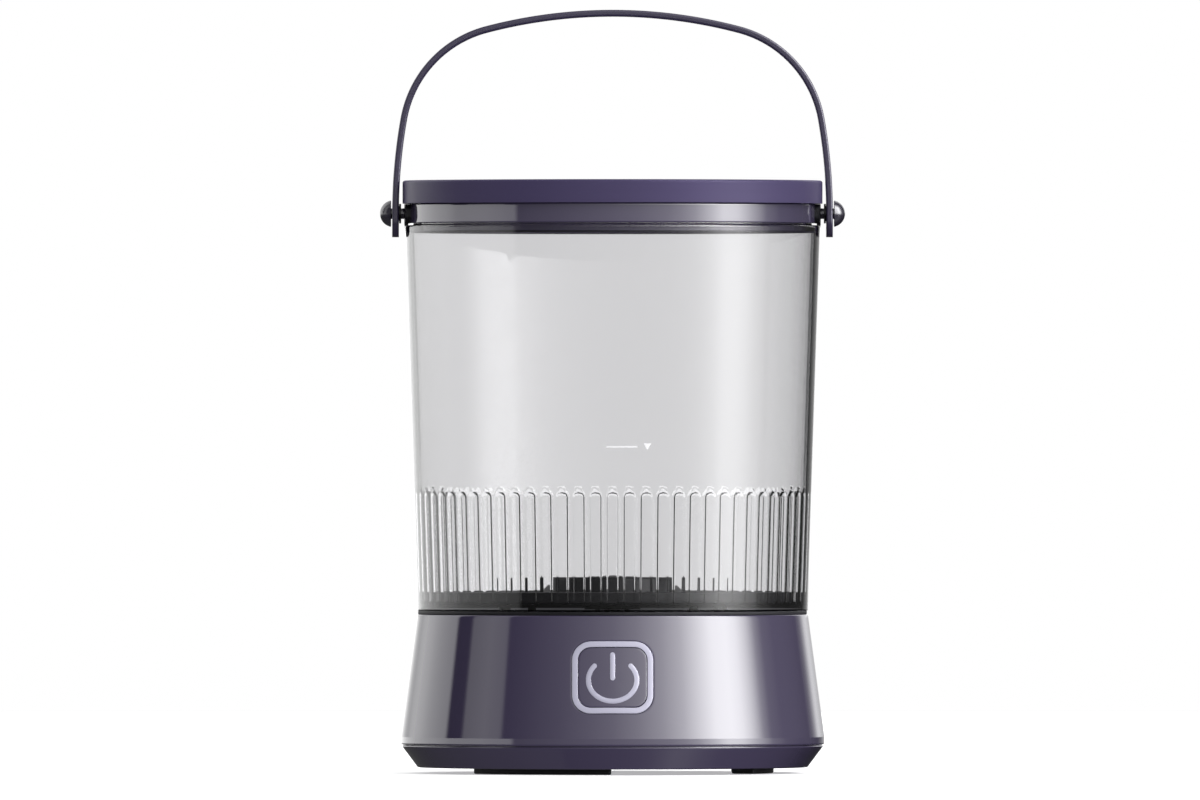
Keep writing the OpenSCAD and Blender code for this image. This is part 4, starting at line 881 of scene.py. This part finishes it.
def stroke(points, half, rows, centre_z):
    """A line of paint or inlay on the cone. It follows points, spreads "half" to each side, narrows along
    a half circle to each end, and each row gives (share of the half width, height over the cone)."""
    ahead = np.gradient(points, axis=0)
    ahead /= np.linalg.norm(ahead, axis=1)[:, None]
    across = np.stack([-ahead[:, 1], ahead[:, 0]], -1)
    length = np.concatenate([[0], np.cumsum(np.linalg.norm(np.diff(points, axis=0), axis=1))])
    near = np.minimum(np.minimum(length, length[-1] - length), half)
    spread = np.sqrt(np.maximum(half**2 - (half - near) ** 2, 0))
    loops = []
    for share, out in rows:
        p = points + across * (spread * share)[:, None]
        loops.append(on_cone(p[:, 0], p[:, 1], out, centre_z))
    return np.stack(loops, 1)


def end_crowded(length, half, count=60, ends=12):
    """Stations along a stroke, crowded into its two round ends."""
    turn = np.linspace(0, math.pi / 2, ends)
    tip = half * (1 - np.cos(turn))
    return np.concatenate([tip[:-1], np.linspace(half, length - half, count), length - tip[::-1][1:]])


class WASHER_OT_button(bpy.types.Operator):
    """Builds the light button frame, the button's cap and the power sign on it"""

    bl_idname = "washer.button"
    bl_label = "Power button"

    def execute(self, context):
        angle = np.arange(128) * 2 * math.pi / 128
        low, top, e = -1.15 * MM, 0.3 * MM, 0.25 * MM

        def inset(by):
            return (FRAME_W - 2 * by, FRAME_H - 2 * by, FRAME_CORNER - by)

        rounding = np.linspace(0, math.pi / 2, 4)
        rise = [(*inset(e * (1 - math.cos(a))), top - e * (1 - math.sin(a))) for a in rounding]
        line = FRAME_LINE
        fall = [(*inset(line - e * (1 - math.cos(a))), top - e * (1 - math.sin(a))) for a in rounding[::-1]]
        rows = [(*inset(0), low)] + rise + fall + [(*inset(line), low)]
        ring = opening_walls(angle, rows, BUTTON_Z)
        make_piece("button_rim", [(ring, True, True, None)], "base", "light_trim", ["button_frame"])

        gap, proud = line + 0.25 * MM, 0.1 * MM
        cap = inset(gap)
        shares = [0.0, 0.25, 0.5, 0.7, 0.85, 0.94]
        face = [(cap[0] * s + 1e-9, cap[1] * s + 1e-9, cap[2] * s, proud) for s in shares]
        over = [(*inset(gap + e * (1 - math.sin(a))), proud - e * (1 - math.cos(a))) for a in rounding]
        under = [(*inset(gap), -2.6 * MM), (1e-9, 1e-9, 0.0, -2.6 * MM)]
        make_piece("button_cap", [belt(opening_walls(angle, face + over + under, BUTTON_Z))],
                   "button", "gloss_purple", ["power_button"])

        half = 1.1 * MM
        gap_angle = math.radians(42)
        sweep = 2 * math.pi - 2 * gap_angle
        rx, ry, drop = 10.8 * MM, 9.5 * MM, 1.2 * MM
        fine = math.pi / 2 + gap_angle + np.linspace(0, sweep, 2000)
        walk = np.stack([rx * np.cos(fine), ry * np.sin(fine)], -1)
        far = np.concatenate([[0], np.cumsum(np.linalg.norm(np.diff(walk, axis=0), axis=1))])
        stations = end_crowded(far[-1], half, 90)
        arc = np.stack([np.interp(stations, far, walk[:, i]) for i in (0, 1)], -1) - [0, drop]
        tall = end_crowded(12.6 * MM, half, 12)
        bar = np.stack([0 * tall, tall - 0.2 * MM - drop], -1)
        height = proud + 0.12 * MM
        buried, side = -0.3 * MM, height - 0.06 * MM
        rows = [(-1, buried), (-1, side), (-0.93, height), (0, height + 0.02 * MM), (0.93, height), (1, side),
                (1, buried)]
        grids = [belt(stroke(points, half, rows, BUTTON_Z)) for points in (arc, bar)]
        make_piece("power_sign", grids, "button", "light_trim", ["power_symbol"])
        return {"FINISHED"}


# ---- tub ----


def tub_outer(z):
    return FOOT_R + (z - TUB_Z) * TAPER


class WASHER_OT_tub(bpy.types.Operator):
    """Builds the clear tub with its wash ribs, its set-back neck and its two bracket notches"""

    bl_idname = "washer.tub"
    bl_label = "Clear tub"

    def execute(self, context):
        sizes = context.scene.washer_sizes
        edge = sizes.edge
        floor_z = TUB_Z + TUB_WALL
        boss_r, boss_top, hole = 12 * MM, TUB_Z + TUB_WALL + 4.6 * MM, 5.5 * MM
        neck_in = NECK_R - 2.2 * MM
        rib_top = TUB_Z + sizes.rib_top
        pitch = 2 * math.pi / sizes.rib_count
        flank = np.array([-0.8, -0.45, -0.15, 0.15, 0.45, 0.8]) * MM
        middles = [0, pitch / 2 * FOOT_R]
        places = np.concatenate([sizes.rib_half + flank, flank - sizes.rib_half, middles]) / FOOT_R
        a = (np.arange(sizes.rib_count)[:, None] * pitch + np.sort(np.mod(places, pitch))[None, :]).ravel()

        def inner(z):
            return tub_outer(z) - TUB_WALL

        inside_top = SHOULDER_Z - TUB_WALL - 0.8 * MM
        outer = rounded([(hole, TUB_Z), (tub_outer(TUB_Z), TUB_Z), (RIM_R, SHOULDER_Z), (NECK_R, SHOULDER_Z),
                         (NECK_R, NECK_Z), (neck_in, NECK_Z), (neck_in, SHOULDER_Z - TUB_WALL),
                         (inner(inside_top), inside_top)],
                        [0, edge, 0.7 * MM, 0.5 * MM, 0.4 * MM, 0.4 * MM, 0.3 * MM, 0], steps=3)
        climb = np.concatenate([[floor_z + 2.5 * MM], np.linspace(floor_z + 4 * MM, rib_top - 4.5 * MM, 5),
                                np.linspace(rib_top - 3.2 * MM, rib_top + 0.4 * MM, 16)])
        upper = np.linspace(rib_top + 3 * MM, inside_top, 8)
        z = np.concatenate([upper[::-1], climb[::-1]])
        wall = np.stack([inner(z), z], -1)
        corner = rounded([(inner(floor_z + 2.5 * MM), floor_z + 2.5 * MM), (inner(floor_z), floor_z),
                          (boss_r, floor_z), (boss_r, boss_top), (hole, boss_top), (hole, TUB_Z)],
                         [0, 2.0 * MM, 0.8 * MM, 0.4 * MM, 0.3 * MM, 0], steps=4)
        outline = np.concatenate([outer, wall[1:], corner[1:]])
        r, height = outline[:, 0, None] + 0 * a, outline[:, 1, None] + 0 * a
        # a rib is an upright bar with an arched top, and its flanks rise in a smooth step across its edge
        along = (np.mod(a + pitch / 2, pitch) - pitch / 2) * FOOT_R
        above = np.maximum(height - (rib_top - sizes.rib_half), 0)
        depth = (sizes.rib_half - np.hypot(along[None, :], above)) / (1.1 * MM) + 0.5
        rise = np.clip(depth, 0, 1)
        rise = rise * rise * (3 - 2 * rise)
        row = np.arange(len(outline))[:, None]
        on_wall = (row >= len(outer) - 1) & (height < rib_top + 1 * MM) & (r > 0.93 * FOOT_R)
        r = r - np.where(on_wall, rise * sizes.rib_proud, 0)
        # the brackets' tongues sit in shallow notches under the shoulder
        near = np.abs(np.abs(np.sin(a)) - 1) < 1 - math.cos(0.07)
        notch = (row < len(outer) // 2) & near[None, :] & (height > COLLAR_Z - 5.4 * MM)
        r = np.where(notch, np.minimum(r, RIM_R - 1.8 * MM), r)
        grid = np.stack([r * np.sin(a), -r * np.cos(a), height], -1)
        make_piece("tub_shell", [belt(grid)], "base", "clear_tub", ["tub"], 50)
        bore, pad_r = 11 * MM, reach("tub_gasket")
        gasket = rounded([(bore, DECK_Z), (pad_r, DECK_Z), (pad_r, TUB_Z), (bore, TUB_Z), (bore, DECK_Z)],
                          [0, 0.4 * MM, 0.4 * MM, 0, 0])
        make_piece("tub_pad", [belt(turned(gasket))], "base", "black_rubber",
                   ["tub_gasket"])
        return {"FINISHED"}


class WASHER_OT_fill_mark(bpy.types.Operator):
    """Prints the fill line on the tub: a dash and a small pointer"""

    bl_idname = "washer.fill_mark"
    bl_label = "Fill mark"

    def execute(self, context):
        def printed(x, z):
            out = np.array([0.02 * MM, 0.06 * MM])[:, None, None]
            r = tub_outer(z) + out
            return np.stack([x + 0 * out, -np.sqrt(r**2 - x**2), z + 0 * out], -1)

        x, z = np.linspace(-2.9, 11.0, 15) * MM, FILL_Z + np.array([-0.35, 0.35]) * MM
        x, z = np.meshgrid(x, z, indexing="ij")
        dash = printed(x, z)
        s, t = np.meshgrid(np.linspace(0, 1, 7), np.linspace(-1, 1, 7), indexing="ij")
        point = printed(15.5 * MM + t * s * 1.7 * MM, FILL_Z - 1.5 * MM + 3.0 * MM * s)
        grids = []
        for sheet in (dash, point):
            low, high = sheet
            rim = [np.concatenate([g[0], g[1:, -1], g[-1, ::-1][1:], g[::-1, 0][1:]]) for g in (low, high)]
            grids += [(points, False, False, None) for points in (low, high, np.stack(rim))]
        make_piece("fill_mark", grids, "base", "light_trim", material=finish("fill_ink"))
        return {"FINISHED"}


class WASHER_OT_pulsator(bpy.types.Operator):
    """Builds the pulsator: a rimmed disc with curved vanes, a hub and its cap"""

    bl_idname = "washer.pulsator"
    bl_label = "Pulsator"

    def execute(self, context):
        sizes = context.scene.washer_sizes
        low, top = lowest("pulsator"), highest("pulsator")
        rim = reach("pulsator")
        hub, disc, vane = 30.2 * MM, TUB_Z + TUB_WALL + 4.2 * MM, 1.9 * MM
        a = np.arange(SPIN) * 2 * math.pi / SPIN
        stretches = ((4, 26, 8), (27.5, 31, 12), (32, 74, 34), (75, 79.2, 9))
        r = np.concatenate([np.linspace(*stretch) for stretch in stretches]) * MM
        r = np.concatenate([[0], r, [rim - 0.3 * MM, rim]])[:, None]

        def smooth(x):
            x = np.clip(x, 0, 1)
            return x * x * (3 - 2 * x)

        # hub: flat dish inside a rounded edge; rim: a low bead; vanes: ridges that lean back as they go out
        hub_part = smooth((hub - r) / (2.4 * MM)) ** 0.6
        dish = -0.5 * MM * smooth(1 - r / (20 * MM))
        bead = smooth((r - (rim - 4 * MM)) / (1.6 * MM))
        swing = np.mod(a + (r - hub) / (52 * MM), 2 * math.pi / sizes.vanes) - math.pi / sizes.vanes
        ridge = np.exp(-((swing * np.maximum(r, hub) / (3.4 * MM)) ** 2))
        ridge = ridge * smooth((rim - 5 * MM - r) / (8 * MM)) * smooth((r - hub + 2 * MM) / (3 * MM))
        z = disc + np.maximum(bead, ridge) * vane
        z = z + (top - disc + dish) * hub_part - np.maximum(bead, ridge) * vane * hub_part
        z[-1] = disc - 0.8 * MM
        z[-2] -= 0.25 * MM
        upper = np.stack([r * np.sin(a), -r * np.cos(a), z + 0 * a], -1)
        skirt, well = rim - 2.4 * MM, 14 * MM
        under = turned(np.array([
            (rim, disc - 0.8 * MM), (rim, low + 0.4 * MM), (rim - 0.4 * MM, low), (rim - 2 * MM, low),
            (skirt, low + 0.4 * MM), (skirt, disc - 2 * MM), (well, disc - 2 * MM), (well, top - 4 * MM),
            (0, top - 4 * MM)]))
        make_piece("pulsator_disc", [belt(upper), belt(under)], "agitator", "black_plastic", ["pulsator"])
        return {"FINISHED"}


# ---- collar, lid and bail ----


class WASHER_OT_collar(bpy.types.Operator):
    """Builds the rim collar with its inner skirt"""

    bl_idname = "washer.collar"
    bl_label = "Rim collar"

    def execute(self, context):
        edge = context.scene.washer_sizes.edge
        skirt_out = NECK_R - 2.2 * MM - FIT
        skirt_in, skirt_z = skirt_out - 1.7 * MM, COLLAR_Z - 4 * MM
        start = ((skirt_in + skirt_out) / 2, skirt_z)
        neck_r, neck_z = NECK_R + FIT, NECK_Z + FIT
        outline = rounded([start, (skirt_out, skirt_z), (skirt_out, neck_z), (neck_r, neck_z), (neck_r, COLLAR_Z),
                           (COLLAR_R, COLLAR_Z), (COLLAR_R, RIM_Z), (skirt_in, RIM_Z), (skirt_in, skirt_z), start],
                          [0, 0.3 * MM, 0.1 * MM, 0.1 * MM, 0.1 * MM, 0.4 * MM, edge, edge, 0.3 * MM, 0])
        make_piece("collar_ring", [belt(turned(outline))], "base", "gloss_purple", ["rim_collar"])
        return {"FINISHED"}


class WASHER_OT_lid(bpy.types.Operator):
    """Builds the lid's flat cap with its soft top edge"""

    bl_idname = "washer.lid"
    bl_label = "Lid"

    def execute(self, context):
        sizes = context.scene.washer_sizes
        r = reach("lid_cap")
        inner, under = r - 2.4 * MM, LID_TOP - 2.4 * MM
        outline = rounded([(0, LID_TOP), (r, LID_TOP), (r, LID_Z), (inner, LID_Z), (inner, under), (0, under)],
                          [0, sizes.lid_edge, 0.2 * MM, 0.2 * MM, 0.5 * MM, 0], steps=8)
        make_piece("lid_top", [belt(turned(outline))], "lid", "satin_purple",
                   ["lid_cap"])
        return {"FINISHED"}


def bail_path(span, rise, tail):
    """Middle line of the bail as (x, z, length): a straight tail, a wide side arc, a tight shoulder arc and a
    shallow crown arc, each tangent to the next, mirrored at the top."""
    side_r, shoulder_r, sweep = 244 * MM, 50.5 * MM, math.radians(10)
    side_x = span - side_r
    sx = side_x + (side_r - shoulder_r) * math.cos(sweep)
    sz = (side_r - shoulder_r) * math.sin(sweep)
    crown_r = (shoulder_r**2 - sx**2 - (sz - rise) ** 2) / (2 * (sz - rise + shoulder_r))
    crown_from = math.atan2(sz - rise + crown_r, sx)

    def arc(x, z, r, start, end, count):
        t = np.linspace(start, end, count)
        return np.stack([x + r * np.cos(t), z + r * np.sin(t)], -1)

    half_w = STRAP_W / 2
    tip = -tail + half_w * (1 - np.cos(np.linspace(0, math.pi / 2, 14)))
    low = np.concatenate([tip, np.linspace(tip[-1], 0, 5)[1:-1]])
    right = np.concatenate([
        np.stack([np.full(len(low), span), low], -1), arc(side_x, 0, side_r, 0, sweep, 24)[:-1],
        arc(sx, sz, shoulder_r, sweep, crown_from, 44)[:-1],
        arc(0, rise - crown_r, crown_r, crown_from, math.pi / 2, 30)])
    return np.concatenate([right, right[-2::-1] * [-1, 1]])


class WASHER_OT_bail(bpy.types.Operator):
    """Builds the flat-strap bail with its round tips, and the domed pivot knobs"""

    bl_idname = "washer.bail"
    bl_label = "Bail and pivots"

    def execute(self, context):
        edge = context.scene.washer_sizes.strap_edge
        low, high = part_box("bail_strap")
        path = bail_path(high.x - STRAP_T / 2, high.z - STRAP_T / 2 - PIVOT_Z, PIVOT_Z - low.z)
        ahead = np.gradient(path, axis=0)
        ahead /= np.linalg.norm(ahead, axis=1)[:, None]
        out = np.stack([ahead[:, 1], -ahead[:, 0]], -1)
        # the section's width follows a half circle over the last half width of each tail
        over = np.minimum(path[:, 1] + PIVOT_Z - low.z, STRAP_W / 2)
        width = 2 * np.sqrt(np.maximum((STRAP_W / 2) ** 2 - (STRAP_W / 2 - over) ** 2, 1e-12))
        angle = np.arange(48) * 2 * math.pi / 48
        rows = []
        for (x, z), (nx, nz), w in zip(path, out, width):
            u, v = outline_at(angle, STRAP_T, max(w, 0.2 * MM), min(edge, max(w, 0.2 * MM) * 0.45))
            rows.append(np.stack([x + u * nx, v, PIVOT_Z + z + u * nz], -1))
        ends = [np.broadcast_to(rows[i].mean(0), rows[i].shape) for i in (0, -1)]
        grid = np.stack([ends[0]] + rows + [ends[1]])
        make_piece("bail_band", [belt(grid)], "bail", "strap_purple", ["bail_strap"])
        head_r, head_h, shank = 5.95 * MM, 5 * MM, 2.4 * MM
        for side, name in ((1, "right"), (-1, "left")):
            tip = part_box("pivot_knob_" + name)[1].x if side > 0 else -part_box("pivot_knob_" + name)[0].x
            base = tip - head_h
            ball = (head_r**2 + head_h**2) / (2 * head_h)
            dome = np.linspace(0, 1, 12)[1:-1] * math.asin(head_r / ball) * 0.985
            edge = 0.3 * MM
            outline = [(0, RIM_R), (shank, RIM_R), (shank, base), (head_r - edge, base), (head_r, base + edge)]
            outline += [(ball * math.sin(t), tip - ball * (1 - math.cos(t))) for t in dome[::-1]] + [(0, tip)]
            make_piece(f"pivot_cap_{name}", [belt(turned_sideways(np.array(outline), PIVOT_Z, side))],
                       "base", "dark_metal", [f"pivot_knob_{name}"])
        return {"FINISHED"}


class WASHER_OT_inner_parts(bpy.types.Operator):
    """Gives every piece that keeps its frame shape the finish of its slot"""

    bl_idname = "washer.inner_parts"
    bl_label = "Frame pieces' finishes"

    def execute(self, context):
        for part in frame["record"]["subparts"]:
            node = frame["nodes"][part["node"]]
            material = finish(part["material_slot"])
            if not node.material_slots:
                node.data.materials.append(material)
            for place in node.material_slots:
                place.material = material
        return {"FINISHED"}


class WASHER_PT_panel(bpy.types.Panel):
    """Lists the washer's sizes, colours and pieces"""

    bl_idname = "WASHER_PT_panel"
    bl_label = "Mini Washer"
    bl_space_type = "VIEW_3D"
    bl_region_type = "UI"
    bl_category = "Washer"

    def draw(self, context):
        for group in (context.scene.washer_sizes, context.scene.washer_colours, context.scene.washer_studio):
            box = self.layout.box()
            for name in group.__annotations__:
                box.prop(group, name)
        for operator in OPERATORS:
            self.layout.operator(operator.bl_idname)


GROUPS = (WasherSizes, WasherColours, WasherStudio)
OPERATORS = (
    WASHER_OT_camera, WASHER_OT_housing, WASHER_OT_pan, WASHER_OT_feet, WASHER_OT_button, WASHER_OT_tub,
    WASHER_OT_fill_mark, WASHER_OT_pulsator, WASHER_OT_collar, WASHER_OT_lid, WASHER_OT_bail,
    WASHER_OT_inner_parts, WASHER_OT_stage,
)


def register():
    for cls in GROUPS + OPERATORS + (WASHER_PT_panel,):
        bpy.utils.register_class(cls)
    bpy.types.Scene.washer_sizes = PointerProperty(type=WasherSizes)
    bpy.types.Scene.washer_colours = PointerProperty(type=WasherColours)
    bpy.types.Scene.washer_studio = PointerProperty(type=WasherStudio)


def unregister():
    del bpy.types.Scene.washer_studio
    del bpy.types.Scene.washer_colours
    del bpy.types.Scene.washer_sizes
    for cls in reversed(GROUPS + OPERATORS + (WASHER_PT_panel,)):
        bpy.utils.unregister_class(cls)


def main():
    register()
    for operator in OPERATORS:
        space, name = operator.bl_idname.split(".")
        getattr(getattr(bpy.ops, space), name)()


if __name__ == "__main__":
    main()
